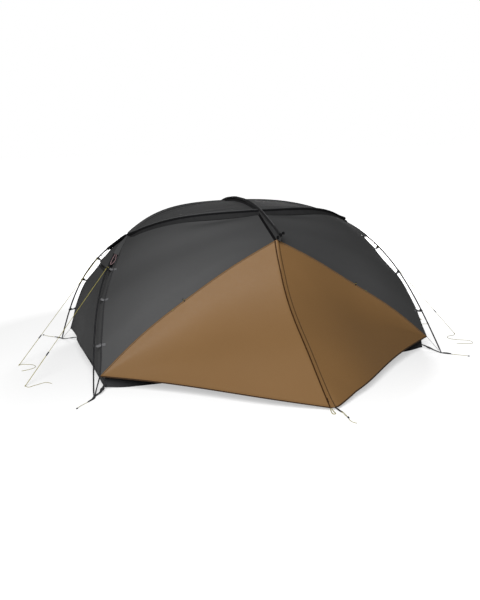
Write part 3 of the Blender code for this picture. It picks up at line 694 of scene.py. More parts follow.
def settled(piece, slot, *nodes):
    """Ride on the tent and stand for the CAD nodes named, which it hides; the slot is not used."""
    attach(piece, "root")
    if nodes:
        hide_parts(*nodes)
    return piece


def joined(name, pieces, slot, *nodes):
    """Several meshes as one piece, settled on the tent."""
    return settled(gathered(name, pieces), slot, *nodes)


# Materials

# The floor is plain white from FLOOR_FAR outwards, measured from FLOOR_SHIFT to the left of the tent's middle
FLOOR_NEAR = 1.7
FLOOR_FAR = 2.7
FLOOR_SHIFT = 0.45

# Pitches and widths of threads
RIPSTOP_PITCH = 0.005
RIPSTOP_THREAD = 0.0009
RIB_PITCH = 0.0022
BRAID_PITCH = 0.0026
TRACER_PITCH = 4 * BRAID_PITCH
TRACER_THREAD = 0.0034
TRACER = (0.05, 0.045, 0.02)
NET_PITCH = 0.0016
NET_THREAD = 0.0011


class Signal:
    """A shader value: arithmetic on it and on numbers adds Math nodes."""

    def __init__(self, finish, socket):
        self.finish = finish
        self.socket = socket

    def maths(self, operation, *values, clamp=False):
        settings = {"operation": operation, "use_clamp": clamp}
        return self.finish.node("ShaderNodeMath", settings, dict(enumerate(values)))

    def __add__(self, other):
        return self.maths("ADD", self, other)

    def __sub__(self, other):
        return self.maths("SUBTRACT", self, other)

    def __rsub__(self, other):
        return self.maths("SUBTRACT", other, self)

    def __mul__(self, other):
        return self.maths("MULTIPLY", self, other)

    __radd__ = __add__
    __rmul__ = __mul__

    def __abs__(self):
        return self.maths("ABSOLUTE", self)

    def limited(self):
        return self.maths("ADD", self, 0.0, clamp=True)

    def fraction(self):
        return self.maths("FRACT", self)

    def sine(self):
        return self.maths("SINE", self)

    def root(self):
        return self.maths("SQRT", self)

    def most(self, other):
        return self.maths("MAXIMUM", self, other)


class Finish:
    """A material being made: its Principled shader, and the patterns that feed it."""

    def __init__(self, name, roughness=0.6, metallic=0.0, sheen=0.0, sheen_roughness=0.5, specular=0.5):
        self.material = bpy.data.materials.new(name)
        self.material.use_nodes = True
        self.tree = self.material.node_tree
        self.shader = self.tree.nodes["Principled BSDF"]
        fixed = {"Roughness": roughness, "Metallic": metallic, "Sheen Weight": sheen,
                 "Sheen Roughness": sheen_roughness, "Specular IOR Level": specular}
        for socket, value in fixed.items():
            self.shader.inputs[socket].default_value = value

    def feed(self, socket, value):
        if isinstance(value, Signal):
            self.tree.links.new(value.socket, socket)
        else:
            socket.default_value = value

    def node(self, kind, settings=None, inputs=None, output=0):
        """Add a node: its settings first, then each socket's value or link. Gives one of its outputs."""
        made = self.tree.nodes.new(kind)
        for name, value in (settings or {}).items():
            setattr(made, name, value)
        for name, value in (inputs or {}).items():
            self.feed(made.inputs[name], value)
        return Signal(self, made.outputs[output])

    def map_place(self):
        """The two UV coordinates, in metres."""
        place = self.node("ShaderNodeTexCoord", output="UV")
        return self.axes(place)[:2]

    def axes(self, place):
        split = self.node("ShaderNodeSeparateXYZ", inputs={0: place})
        outputs = split.socket.node.outputs
        return [Signal(self, outputs[n]) for n in range(3)]

    def object_place(self):
        return self.node("ShaderNodeTexCoord", output="Object")

    def cloud(self, size, detail=2.0):
        """Noise from 0 to 1 with blobs of about a size in metres."""
        inputs = {"Vector": self.object_place(), "Scale": 1 / size, "Detail": detail}
        return self.node("ShaderNodeTexNoise", inputs=inputs)

    def line(self, place, pitch, width):
        """1 along thin lines that repeat at a pitch, falling to 0 at half the width to each side."""
        away = abs((place * (1 / pitch)).fraction() - 0.5)
        return (1 - away * (2 * pitch / width)).limited()

    def grid(self, u, v, pitch, width):
        """1 along two sets of lines that cross."""
        return self.line(u, pitch, width).most(self.line(v, pitch, width))

    def wave(self, place, pitch):
        return (place * (2 * math.pi / pitch)).sine() * 0.5 + 0.5

    def mixed(self, mask, first, second):
        colours = {6: first if isinstance(first, Signal) else (*first, 1.0),
                   7: second if isinstance(second, Signal) else (*second, 1.0)}
        return self.node("ShaderNodeMix", {"data_type": "RGBA"}, {0: mask, **colours}, output=2)

    def paint(self, colour, roughness=None, height=None, depth=0.0003):
        """Feed the shader: its colour, its roughness, and a height that becomes bump."""
        self.feed(self.shader.inputs["Base Color"], colour)
        if roughness is not None:
            self.feed(self.shader.inputs["Roughness"], roughness)
        if height is not None:
            bump = self.node("ShaderNodeBump", inputs={"Height": height, "Distance": depth, "Strength": 1.0})
            self.feed(self.shader.inputs["Normal"], bump)
        return self.material


def toned(colour, share):
    return tuple(min(1.0, c * share) for c in colour[:3])


def ripstop(name, colour, roughness, sheen, specular):
    """Coated ripstop cloth: a fine weave with a thicker thread every few millimetres."""
    finish = Finish(name, roughness, sheen=sheen, sheen_roughness=0.4, specular=specular)
    u, v = finish.map_place()
    threads = finish.grid(u, v, RIPSTOP_PITCH, RIPSTOP_THREAD)
    broad = finish.cloud(0.45)
    crinkle = finish.cloud(0.02, 3.0)
    base = finish.mixed(broad, toned(colour, 0.94), toned(colour, 1.06))
    base = finish.mixed(threads * 0.5, base, toned(colour, 1.18))
    height = threads * 0.35 + crinkle * 1.2
    return finish.paint(base, crinkle * 0.12 + (roughness - 0.06), height, 0.0004)


def plain_weave(name, colour, pitch, roughness=0.7, sheen=0.02, specular=0.1):
    """Plain woven cloth, with its threads at a pitch, a little uneven in tone."""
    finish = Finish(name, roughness, sheen=sheen, specular=specular)
    u, v = finish.map_place()
    weave = finish.wave(u, pitch) * finish.wave(v, pitch)
    uneven = finish.cloud(0.05, 4.0)
    base = finish.mixed(uneven, toned(colour, 0.8), toned(colour, 1.3))
    return finish.paint(base, uneven * 0.15 + (roughness - 0.08), weave + uneven, 0.0003)


def woven_strap(name, colour):
    """Webbing: ribs that run across the strap at a slant, with a little fuzz."""
    finish = Finish(name, 0.8, sheen=0.03, specular=0.15)
    u, v = finish.map_place()
    ribs = finish.wave(u + v * 0.6, RIB_PITCH)
    fuzz = finish.cloud(0.004, 3.0)
    base = finish.mixed(ribs, toned(colour, 0.7), toned(colour, 1.5))
    return finish.paint(base, fuzz * 0.2 + 0.68, ribs + fuzz * 0.5, 0.0004)


def braided_cord(name, colour):
    """A braided cord with a dark tracer thread."""
    finish = Finish(name, 0.7, sheen=0.05, specular=0.3)
    u, v = finish.map_place()
    strands = finish.wave(u + v * 0.5, BRAID_PITCH).most(finish.wave(u - v * 0.5, BRAID_PITCH))
    mark = finish.line(u + v * 0.5, TRACER_PITCH, TRACER_THREAD)
    base = finish.mixed(strands, toned(colour, 0.62), colour[:3])
    base = finish.mixed(mark * 0.55, base, TRACER)
    return finish.paint(base, strands * 0.1 + 0.62, strands, 0.0003)


def anodised(name, colour, roughness):
    """Anodised alloy tube: drawn lines along it, and small paler patches."""
    finish = Finish(name, roughness, metallic=0.25, specular=0.08)
    _, v = finish.map_place()
    drawn = finish.node("ShaderNodeTexNoise", {"noise_dimensions": "1D"}, {"W": v, "Scale": 900.0})
    paler = (finish.cloud(0.03, 4.0) * 4 - 2.2).limited()
    base = finish.mixed(paler * 0.6, colour[:3], toned(colour, 2.4))
    return finish.paint(base, drawn * 0.15 + paler * 0.12 + (roughness - 0.08), drawn, 0.00008)


def moulded(name, colour, roughness, specular):
    """Moulded plastic with a fine grain."""
    finish = Finish(name, roughness, specular=specular)
    grain = finish.cloud(0.0015, 2.0)
    uneven = finish.cloud(0.02, 3.0)
    base = finish.mixed(uneven, toned(colour, 0.85), toned(colour, 1.2))
    return finish.paint(base, uneven * 0.15 + (roughness - 0.07), grain, 0.0002)


def netting(name, colour):
    """Fine insect netting, a little see-through between its threads."""
    finish = Finish(name, 0.8)
    u, v = finish.map_place()
    threads = finish.grid(u, v, NET_PITCH, NET_THREAD)
    finish.feed(finish.shader.inputs["Alpha"], (threads * 3).limited() * 0.35 + 0.6)
    return finish.paint(finish.mixed(threads, toned(colour, 0.6), colour[:3]), None, threads, 0.0003)


def pale_floor(name, colour):
    """A white floor that glows for the camera alone, and sheds none of the glow on the tent."""
    finish = Finish(name, 0.9, specular=0.0)
    glow = bpy.context.scene.stage_look.floor_glow
    x, y, _ = finish.axes(finish.object_place())
    x = x + FLOOR_SHIFT
    far = (x * x + y * y).root()
    far = ((far - FLOOR_NEAR) * (1 / (FLOOR_FAR - FLOOR_NEAR))).limited()
    finish.shader.inputs["Emission Strength"].default_value = 1.0
    seen = finish.node("ShaderNodeLightPath", output="Is Camera Ray")
    shine = finish.mixed(far, (glow, glow, glow), (1.0, 1.0, 1.0))
    finish.feed(finish.shader.inputs["Emission Color"], finish.mixed(seen, (0.0, 0.0, 0.0), shine))
    grain = finish.cloud(0.6)
    return finish.paint(finish.mixed(grain, toned(colour, 0.995), colour[:3]))


# What makes each finish, the name of its colour in the panel, the share that it is toned to, and its settings
RECIPES = {
    "grey cloth": (ripstop, "grey", 1.0, 0.62, 0.02, 0.12),
    "brown cloth": (ripstop, "brown", 1.0, 0.62, 0.02, 0.24),
    "brown edge": (plain_weave, "brown", 0.9, 0.001),
    "binding": (plain_weave, "binding", 1.0, 0.001),
    "flap edge": (plain_weave, "brown", 0.4, 0.001),
    "black cloth": (plain_weave, "black", 1.0, 0.0012, 0.8, 0.0, 0.03),
    # Dark grey for the brow sleeve and its webs, and for the strips of painted shade below the arch sleeves
    "facing cloth": (plain_weave, "facing", 1.0, 0.0012, 0.8, 0.0, 0.05),
    "tub cloth": (plain_weave, "tub", 1.0, 0.001, 0.5),
    "webbing": (woven_strap, "webbing", 1.0),
    # The clip tabs, and the painted highlight along the brow sleeve's crest
    "tab webbing": (woven_strap, "tab", 1.0),
    "pull tab": (woven_strap, "pull_tab", 1.0),
    "cord": (braided_cord, "cord", 1.0),
    "anodised tube": (anodised, "pole", 1.0, 0.5),
    "tip alloy": (anodised, "pole", 5.0, 0.34),
    "plastic": (moulded, "plastic", 1.0, 0.5, 0.25),
    "rubber": (moulded, "black", 1.0, 0.7, 0.06),
    "zip tape": (plain_weave, "zip_tape", 1.0, 0.0009, 0.75),
    "zip teeth": (moulded, "zip_teeth", 1.0, 0.6, 0.08),
    "netting": (netting, "netting", 1.0),
    "floor": (pale_floor, "floor", 1.0),
}
FINISHES = {}


def finish_of(name):
    """A material by name, made at its first use with the colours of the panel."""
    if name not in FINISHES:
        maker, colour, share, *settings = RECIPES[name]
        colour = getattr(bpy.context.scene.tent_look, colour)
        FINISHES[name] = maker(name, toned(colour, share), *settings)
    return FINISHES[name]


def colour_value(label, default, text):
    """A colour in the panel."""
    return bpy.props.FloatVectorProperty(name=label, description=text, subtype="COLOR", size=3,
                                         min=0.0, max=1.0, default=default)


def number_value(label, default, text, **unit):
    """A number in the panel."""
    return bpy.props.FloatProperty(name=label, description=text, default=default, min=0.0, **unit)


def length_value(label, default, text):
    """A small length in the panel."""
    return number_value(label, default, text, unit="LENGTH", precision=5)


class TentLook(bpy.types.PropertyGroup):
    """Colours and sizes of the dressed tent"""
    grey: colour_value("Grey cloth", (0.0335, 0.0337, 0.0341), "The fly's roof, sides and ends")
    brown: colour_value("Brown cloth", (0.114, 0.06, 0.0203), "The two vestibules")
    black: colour_value("Sleeve cloth", (0.0035, 0.0035, 0.0038), "The sleeves of the arches and the legs")
    # The brow sleeve's dark grey, and the painted shade of the strips below the arch sleeves
    facing: colour_value("Facing cloth", (0.015, 0.0151, 0.0154),
                         "The brow sleeve and the strips by the arches")
    tub: colour_value("Tub cloth", (0.017, 0.0175, 0.019), "The floor and its wall")
    webbing: colour_value("Webbing", (0.014, 0.014, 0.015), "Straps, corner webbing and the tub's bound edge")
    pull_tab: colour_value("Pull tab", (0.12, 0.076, 0.08), "The small tabs at the leg sleeves' lower ends")
    cord: colour_value("Cord", (0.24, 0.207, 0.042), "Guylines and stake-out cords")
    pole: colour_value("Pole", (0.011, 0.011, 0.012), "The anodised poles")
    plastic: colour_value("Plastic", (0.009, 0.009, 0.01), "Hooks, buckles, sliders and beads")
    zip_tape: colour_value("Zip tape", (0.029, 0.012, 0.002), "The tape of the door zips")
    zip_teeth: colour_value("Zip teeth", (0.02, 0.009, 0.003), "The teeth of the door zips")
    # Also the pale strip that paints a highlight along the brow sleeve's crest
    tab: colour_value("Clip tab", (0.07, 0.07, 0.073), "The grey tabs that the pole hooks hang from")
    binding: colour_value("Hem binding", (0.026, 0.013, 0.005), "The dark binding of the vestibules' hems")
    netting: colour_value("Netting", (0.006, 0.006, 0.006), "The netting under the vent hoods")
    floor: colour_value("Floor", (0.42, 0.42, 0.42), "The plain floor that the tent stands on")
    cloth_thickness: length_value("Cloth thickness", 0.0008, "Thickness of the fly's cloth")
    fold_height: length_value("Fold height", 0.0012, "How far the folds stand off the taut cloth")


class StageLook(bpy.types.PropertyGroup):
    """Light round the tent"""
    world: number_value("Background", 1.0, "Strength of the plain white background")
    room: number_value("Room", 0.08, "Strength of the surround away from the background")
    floor_glow: number_value("Floor glow", 0.5, "How much the floor is lit from below")
    key: number_value("Key light", 810.0, "Power of the large light at the front left", unit="POWER")
    back: number_value("Back light", 420.0, "Power of the weaker light at the back right", unit="POWER")


# Stage

KEY_LIGHT_AT = (-2.5, -5.7, 3.7)
BACK_LIGHT_AT = (3.0, 5.2, 2.4)
LIGHTS_AIM = (0, 0, 0.4)
LIGHT_SIZE = 3.0
FLOOR_SIZE = 60


def add_area_light(name, at, power, glossy=True):
    """A large soft light that points at the tent."""
    deselect()
    bpy.ops.object.light_add(type="AREA", location=at)
    lamp = bpy.context.active_object
    lamp.name = name
    lamp.data.shape = "DISK"
    lamp.data.size = LIGHT_SIZE
    lamp.data.energy = power
    lamp.visible_glossy = glossy
    lamp.rotation_euler = (Vector(LIGHTS_AIM) - Vector(at)).to_track_quat("-Z", "Y").to_euler()


def plain_world(strength, room):
    """A plain white surround: bright where the camera looks at it, and dimmer as a light on the tent."""
    world = bpy.data.worlds.new("Plain surround")
    world.use_nodes = True
    tree = world.node_tree
    ray = tree.nodes.new("ShaderNodeLightPath")
    power = tree.nodes.new("ShaderNodeMapRange")
    power.inputs["To Min"].default_value = room
    power.inputs["To Max"].default_value = strength
    background = tree.nodes["Background"]
    background.inputs["Color"].default_value = (1.0, 1.0, 1.0, 1.0)
    tree.links.new(ray.outputs["Is Camera Ray"], power.inputs["Value"])
    tree.links.new(power.outputs[0], background.inputs["Strength"])
    return world


def add_camera():
    """The camera at the photograph's place, from its yaw, pitch and roll."""
    ahead = np.array([math.sin(CAMERA_YAW), math.cos(CAMERA_YAW), 0.0])
    ahead = ahead * math.cos(CAMERA_PITCH) - UP * math.sin(CAMERA_PITCH)
    level = np.array([math.cos(CAMERA_YAW), -math.sin(CAMERA_YAW), 0.0])
    head = np.cross(level, ahead)
    right = level * math.cos(CAMERA_ROLL) + head * math.sin(CAMERA_ROLL)
    head = np.cross(right, ahead)
    bpy.ops.object.camera_add(location=CAMERA_AT)
    camera = bpy.context.active_object
    camera.name = "Photograph camera"
    camera.rotation_euler = Matrix((right, head, -ahead)).transposed().to_euler()
    camera.data.lens = CAMERA_LENS
    camera.data.sensor_width = SENSOR
    camera.data.sensor_fit = "AUTO"
    bpy.context.scene.camera = camera


class TENT_OT_stage(bpy.types.Operator):
    """Make the plain floor, the soft lights and the camera"""
    bl_idname = "tent.make_stage"
    bl_label = "Stage"

    def execute(self, context):
        stage = context.scene.stage_look
        add_camera()
        context.scene.world = plain_world(stage.world, stage.room)
        context.scene.view_settings.view_transform = "Standard"
        add_area_light("Key light", KEY_LIGHT_AT, stage.key)
        add_area_light("Back light", BACK_LIGHT_AT, stage.back, glossy=False)
        deselect()
        bpy.ops.mesh.primitive_plane_add(size=FLOOR_SIZE)
        floor = context.active_object
        floor.name = "studio_floor"
        floor.data.materials.append(finish_of("floor"))
        return {"FINISHED"}


# Fly and vestibules

def fly_panels():
    """The grey panels with their folds: four sides, two ends and the two halves of the roof."""
    panels = [slackened(side_panel(*signs)) for signs in CORNERS.values()]
    for sign in ENDS.values():
        panels.append(slackened(end_panel(sign), free=("high",)))
        panels.append(slackened(mirrored(PANELS["roof"], sign, 1), free=("high",)))
    return panels


class TENT_OT_fly(bpy.types.Operator):
    """Sew the grey fly: one sheet over the roof, down the sides and over the ends"""
    bl_idname = "tent.make_fly"
    bl_label = "Fly"

    def execute(self, context):
        fly = cloth("fly_grey", fly_panels(), finish_of("grey cloth"))
        nodes = ["fly_side_" + corner for corner in CORNERS]
        nodes += ["fly_" + part + "_" + end for part in ("end", "roof") for end in ENDS]
        settled(fly, "fly_grey", *nodes)
        return {"FINISHED"}


class TENT_OT_vestibules(bpy.types.Operator):
    """Sew the two brown vestibules, each of two panels that meet at the door's ridge"""
    bl_idname = "tent.make_vestibules"
    bl_label = "Vestibules"

    def execute(self, context):
        for side, sign in SIDES.items():
            panels = [slackened(door_panel(sign_x, sign)) for sign_x in ENDS.values()]
            piece = cloth("vestibule_cloth_" + side, panels, finish_of("brown cloth"))
            settled(piece, "vestibule_brown", "vestibule_" + side + "_left", "vestibule_" + side + "_right")
        return {"FINISHED"}


# Widths of the seams, hems and tapes, and how far they stand off the cloth
COLOUR_SEAM_SIZE = 0.012, 0.0012
END_SEAM_SIZE = 0.012, 0.0011
# The ridge tape is partly the real black tape and partly painted shadow under the brow's fins, so it is wide
RIDGE_TAPE_AND_SHADOW_SIZE = 0.034, 0.0013
END_HEM_SIZE = 0.014, 0.0009
DOOR_HEM_SIZE = 0.016, 0.0009
EDGING_SIZE = 0.005, 0.0009
BINDING_SIZE = 0.009, 0.001


def felled_seam(name, first, second, width, lift, finish):
    """A seam's raised strip, which hugs the two panels that meet there."""
    (line, into_a, normal_a), (_, into_b, normal_b) = first, second
    middle = unit(normal_a + normal_b)
    half = width / 2
    rings = np.stack([
        line + into_a * half,
        line + into_a * (half - lift) + normal_a * lift,
        line + into_a * half * 0.5 + normal_a * lift,
        line + middle * lift * 1.2,
        line + into_b * half * 0.5 + normal_b * lift,
        line + into_b * (half - lift) + normal_b * lift,
        line + into_b * half,
        line - middle * lift * 0.2,
    ], axis=1)
    return lofted(name, rings, finish, sharp=60)


def hem(name, rim, width, lift, finish):
    """A folded hem along a panel's free edge."""
    line, into, normal = rim
    rings = np.stack([
        line - into * 0.0006 - normal * lift,
        line - into * 0.0014,
        line - into * 0.0006 + normal * lift,
        line + into * (width - lift) + normal * lift,
        line + into * width + normal * lift * 0.3,
        line + into * width - normal * lift,
    ], axis=1)
    return lofted(name, rings, finish, sharp=60)


class TENT_OT_seams(bpy.types.Operator):
    """Add the felled seams, the black ridge tapes, whose width also paints the shadow under the brow's fins,
    and the folded and bound hems
    """
    bl_idname = "tent.make_seams"
    bl_label = "Seams and hems"

    def execute(self, context):
        grey, brown = finish_of("grey cloth"), finish_of("brown cloth")
        strips, tapes = [], []
        for signs in CORNERS.values():
            upper, lower = edge(side_panel(*signs), "high"), edge(door_panel(*signs), "start")
            strips.append(felled_seam("seam", upper, lower, *COLOUR_SEAM_SIZE, grey))
        for sign in SIDES.values():
            left, right = (edge(side_panel(x, sign), "end") for x in ENDS.values())
            # The ridge tape, widened with painted shadow of the brow's fins
            tapes.append(felled_seam("tape", left, right, *RIDGE_TAPE_AND_SHADOW_SIZE, finish_of("black cloth")))
        for sign in ENDS.values():
            end = end_panel(sign)
            strips.append(hem("hem", edge(end, "high"), *END_HEM_SIZE, grey))
            for column, sign_y in (("start", 1), ("end", -1)):
                side = edge(side_panel(sign, sign_y), "start")
                strips.append(felled_seam("seam", side, edge(end, column), *END_SEAM_SIZE, grey))
        joined("fly_seams", strips, "fly_grey")
        joined("ridge_tapes", tapes, "sleeve_black")
        for side, sign in SIDES.items():
            strips = []
            for sign_x in ENDS.values():
                door = door_panel(sign_x, sign)
                rim = line, into, normal = edge(door, "end")
                strips.append(hem("hem", rim, *DOOR_HEM_SIZE, brown))
                bound = line + into * 0.002 + normal * 0.0012
                strips.append(strap("binding", bound, normal, *BINDING_SIZE, finish_of("binding")))
                line, into, normal = edge(door, "start")
                raised = line - into * 0.001 + normal * 0.0012
                strips.append(hem("edging", (raised, into, normal), *EDGING_SIZE, finish_of("brown edge")))
            joined("vestibule_hem_" + side, strips, "vestibule_brown")
        return {"FINISHED"}


# Poles and their sleeves

# A ferrule's spacing and length, how far it stands out, and the length of its slope at each end
FERRULE_SPACING = 0.43
FERRULE_LENGTH = 0.062
FERRULE_STEP = 0.00035
FERRULE_SLOPE = 0.0008
SHAFT_STEP = 0.012

# The alloy tip of a hoop pole: distances from its end, and radii
TIP_LENGTH = 0.028
TIP_PROFILE = [(0.0, 0.0022), (0.0015, 0.0034), (0.004, 0.0036), (0.01, 0.0036), (0.0112, 0.003),
               (0.014, 0.003), (0.015, 0.0044), (TIP_LENGTH, 0.0046)]


def pole_stations(length):
    """Distances along a pole, and its radius there: tube sections with a wider ferrule over each joint."""
    places = np.arange(TIP_LENGTH + SHAFT_STEP, length - TIP_LENGTH - 0.005, SHAFT_STEP)
    base = [(d, POLE_RADIUS) for d in places]
    wide = POLE_RADIUS + FERRULE_STEP
    joints = []
    count = int(length / FERRULE_SPACING)
    for n in range(1, count):
        middle = length * n / count
        start, stop = middle - FERRULE_LENGTH / 2, middle + FERRULE_LENGTH / 2
        base = [(d, r) for d, r in base if not start - 0.003 < d < stop + 0.003]
        joints += [(start, POLE_RADIUS), (start + FERRULE_SLOPE, wide), (start + 0.02, wide)]
        joints += [(stop - 0.02, wide), (stop - FERRULE_SLOPE, wide), (stop, POLE_RADIUS)]
    ends = [(TIP_LENGTH, POLE_RADIUS), (length - TIP_LENGTH, POLE_RADIUS)]
    return sorted(ends[:1] + base + joints + ends[1:])


def hoop_pole(name, path):
    """A hoop pole: the anodised tube, and an alloy tip at each foot."""
    run = run_of(path)
    start = np.interp(FLOOR_THICKNESS + GAP, path[:20, 2], run[:20])
    path = along(path, np.linspace(start, run[-1] - start, 400))
    shaft = turned(name, path, pole_stations(run_of(path)[-1]), finish_of("anodised tube"))
    return shaft, [turned("tip", line, TIP_PROFILE, finish_of("tip alloy")) for line in (path, path[::-1])]


class TENT_OT_poles(bpy.types.Operator):
    """Make the two hoop poles and the brow pole, with their ferrules and tips"""
    bl_idname = "tent.make_poles"
    bl_label = "Poles"

    def execute(self, context):
        tips = []
        for side, path in (("front", FRONT_POLE), ("back", BACK_POLE)):
            shaft, ends = hoop_pole("hoop_" + side, path)
            settled(shaft, "pole", "pole_" + side + "_arch")
            tips += ends
        joined("pole_tips", tips, "pole")
        brow = tube("brow_tube", brow_line(), POLE_RADIUS, finish_of("anodised tube"), 16)
        settled(brow, "pole", "pole_brow")
        return {"FINISHED"}


# How wide a sleeve's crown over its pole is, and how thick its cloth
DRAPE = 0.0076
SLEEVE_SKIN = 0.0011

# An arch's sleeve: where it starts past a crossing, over what length it widens, its slack at one crossing,
# and how the roof's lap goes over the crest
SLEEVE_STARTS = 0.012
SLEEVE_TAPER = 0.06
SLEEVE_STEP = 0.007
CROSSING_SLACK = 0.01
CROSSING_SLACK_REACH = 0.075
CREST_LAP = 0.003
CREST_RAISE = 0.0005

# Puckers of the sleeves: their height and their pitch
ARCH_PUCKERS = 0.0008, 0.031
BROW_PUCKERS = 0.0007, 0.027

# The strip of painted shade below an arch's sleeve, where the sleeve shades the cloth: its width, and how
# much wider it is by the slack crossing
SHADE_STRIP_WIDTH = 0.05
SHADE_STRIP_SLACK = 0.012
SHADE_STRIP_SLACK_AT = 0.07
SHADE_STRIP_SLACK_REACH = 0.05

# The brow's sleeve, along Y from the tent's middle: where it narrows and where a pale strip on its crest
# paints its highlight, its half width past the arches, and each keeper's place along Y and Z
BROW_TAPER = (0.25, 0.36)
BROW_END_WIDTH = 0.0058
BROW_HIGHLIGHT_REACH = (0.24, 0.62)
KEEPER_AT = (0.694, 0.893)
KEEPER_SIZE = (0.02, 0.016, 0.016)

# The brow pole's end cap: its cup's and rim's length and radius, and its arm's and knob's size and place
CAP_CUP = 0.02, 0.0072
CAP_RIM = 0.004, 0.0086
CAP_ARM = (0.008, 0.014, 0.006), (0.001, 0.008, 0.0085)
CAP_KNOB = (0.015, 0.014, 0.015), (0.0, 0.015, 0.013)


def sleeve_section(puckers, half_width):
    """A sleeve draped over a pole: flat seams at both sides, a crown over the tube, and a flat underside."""
    across = np.linspace(-1, 1, 19)
    low = -SLEEVE_HALF_HEIGHT + 0.0006
    crown = np.exp(-(across * half_width / min(DRAPE, half_width)) ** 2)
    top = low + 0.0007 + (2 * SLEEVE_HALF_HEIGHT - 0.0012) * crown + puckers * (1 - crown) * (1 - across ** 2)
    upper = np.stack([across * half_width, top], axis=1)
    lower = np.stack([across[::-1][::3] * half_width, np.full(7, low)], axis=1)
    return np.concatenate([upper, lower])


def sleeve_foot(part, side, name):
    """Where an arch's sleeve is sewn to a panel, from the left crossing to the right one."""
    halves = []
    for sign_x in ENDS.values():
        line, into, normals = edge(mirrored(PANELS[part], sign_x, SIDES[side]), name)
        spread = SLEEVE_HALF_WIDTH * (0.45 + 0.55 * smooth((run_of(line) - SLEEVE_STARTS) / SLEEVE_TAPER))
        halves.append(line + into * spread[:, None] + normals * 0.001)
    return np.concatenate([halves[0], halves[1][::-1][1:]])


def facing(side, sign_x):
    """A strip of painted shade on a side panel below the arch's sleeve, wider where the sleeve is slack."""
    line, into, normals = edge(side_panel(sign_x, SIDES[side]), "low")
    run = run_of(line)
    near_slack = np.exp(-((run - SHADE_STRIP_SLACK_AT) / SHADE_STRIP_SLACK_REACH) ** 2)
    wide = SHADE_STRIP_SLACK * near_slack * (sign_x == -SIDES[side])
    wide = (0.5 + 0.5 * smooth((run - SLEEVE_STARTS) / SLEEVE_TAPER)) * (SHADE_STRIP_WIDTH + wide)
    near, far = line + into * 0.006, line + into * wide[:, None]
    rings = np.stack([near + normals * 0.0004, near + normals * 0.0019, far + normals * 0.0019,
                      far + normals * 0.0002], axis=1)
    return lofted("facing", rings[1:], finish_of("facing cloth"), sharp=60)


def draped_half(name, path, ups, foot, puckers, lap, finish):
    """Half of a sleeve: the skin from its foot on the cloth up to the pole's crest, or a little over it."""
    run = run_of(path)
    slack_end = run[-1] if path[0][1] + path[len(path) // 2][1] < 0 else 0.0
    slack = CROSSING_SLACK * np.exp(-((run - slack_end) / CROSSING_SLACK_REACH) ** 2)
    lines = tangents(path)
    ups = square_to(ups, lines)
    sides = np.cross(lines, ups)
    reach = np.sum((foot - path) * sides, axis=1)[:, None]
    low = np.sum((foot - path) * ups, axis=1)[:, None]
    share = np.linspace(-lap, 1, 12)[None]
    across = np.where(share < 0, np.sign(reach) * share * CREST_LAP, reach * share)
    foot_crown = np.exp(-(reach / DRAPE) ** 2)
    crown = (np.exp(-(across / DRAPE) ** 2) - foot_crown) / (1 - foot_crown)
    top = SLEEVE_HALF_HEIGHT + lap * CREST_RAISE + slack[:, None]
    rise = low + (top - low) * crown + puckers[:, None] * (1 - crown) * np.clip(1 - share, 0, 1)
    under = rise - SLEEVE_SKIN * (0.35 + 0.65 * crown)
    upper = np.stack([across, rise], axis=-1)
    lower = np.stack([across, under], axis=-1)[:, ::-1]
    return swept(name, path, ups, np.concatenate([upper, lower], axis=1), finish, sharp=60)


class TENT_OT_arch_sleeves(bpy.types.Operator):
    """Drape the sleeves over the arches, black outside and grey inside, with a strip of painted shade below
    each
    """
    bl_idname = "tent.make_arch_sleeves"
    bl_label = "Arch sleeves"

    def execute(self, context):
        black, grey, laps = finish_of("black cloth"), finish_of("grey cloth"), []
        height, pitch = ARCH_PUCKERS
        for side, pole in (("front", FRONT_POLE), ("back", BACK_POLE)):
            arch = pole[FIRST:LAST + 1]
            arch_run = run_of(arch)
            length = arch_run[-1]
            places = np.linspace(SLEEVE_STARTS, length - SLEEVE_STARTS, int(length / SLEEVE_STEP))
            path = along(arch, places)
            run = run_of(path)
            puckers = height * np.sin(run * 2 * math.pi / pitch + 2 * np.sin(run * 9))
            ups = outward(path)
            on_side = along(sleeve_foot("side", side, "low"), places, arch_run)
            on_roof = along(sleeve_foot("roof", side, "end"), places, arch_run)
            pieces = [draped_half("cover", path, ups, on_side, puckers, 0, black)]
            # Strips of painted shade on the side panels, below the sleeve
            pieces += [facing(side, sign_x) for sign_x in ENDS.values()]
            joined("arch_sleeve_" + side, pieces, "sleeve_black", "sleeve_" + side + "_arch")
            laps.append(draped_half("lap", path, ups, on_roof, puckers, 1, grey))
            laps.append(tube("piping", on_roof + UP * 0.0006, 0.001, black, 6))
        joined("arch_laps", laps, "fly_grey")
        return {"FINISHED"}


def brow_line():
    """The brow pole's line, from its front tip to its back tip."""
    half = [(0.0, BROW_CROWN_Z)] + BROW_BOW + [BROW_TIP]
    points = [(0.0, -y, z) for y, z in reversed(half[1:])] + [(0.0, y, z) for y, z in half]
    return sampled(points, 220)


def roof_height(y):
    """Height of the fly where it passes under the brow pole."""
    roof, crown = PANELS["roof"][-1], CURVES["crown"]
    line = np.concatenate([mirrored(crown[::-1], 1, -1)[:-1], roof, crown[1:]])
    return np.interp(y, line[:, 1], line[:, 2])


def brow_sleeve(line):
    """The brow pole's sleeve, which narrows beyond the arches."""
    height, pitch = BROW_PUCKERS
    puckers = height * np.sin(run_of(line) * 2 * math.pi / pitch)
    taper = smooth((abs(line[:, 1]) - BROW_TAPER[0]) / (BROW_TAPER[1] - BROW_TAPER[0]))
    widths = SLEEVE_HALF_WIDTH * (1 - taper) + BROW_END_WIDTH * taper
    sections = [sleeve_section(pucker, width) for pucker, width in zip(puckers, widths)]
    return swept("brow_cover", line, UP, sections, finish_of("facing cloth"), sharp=60)


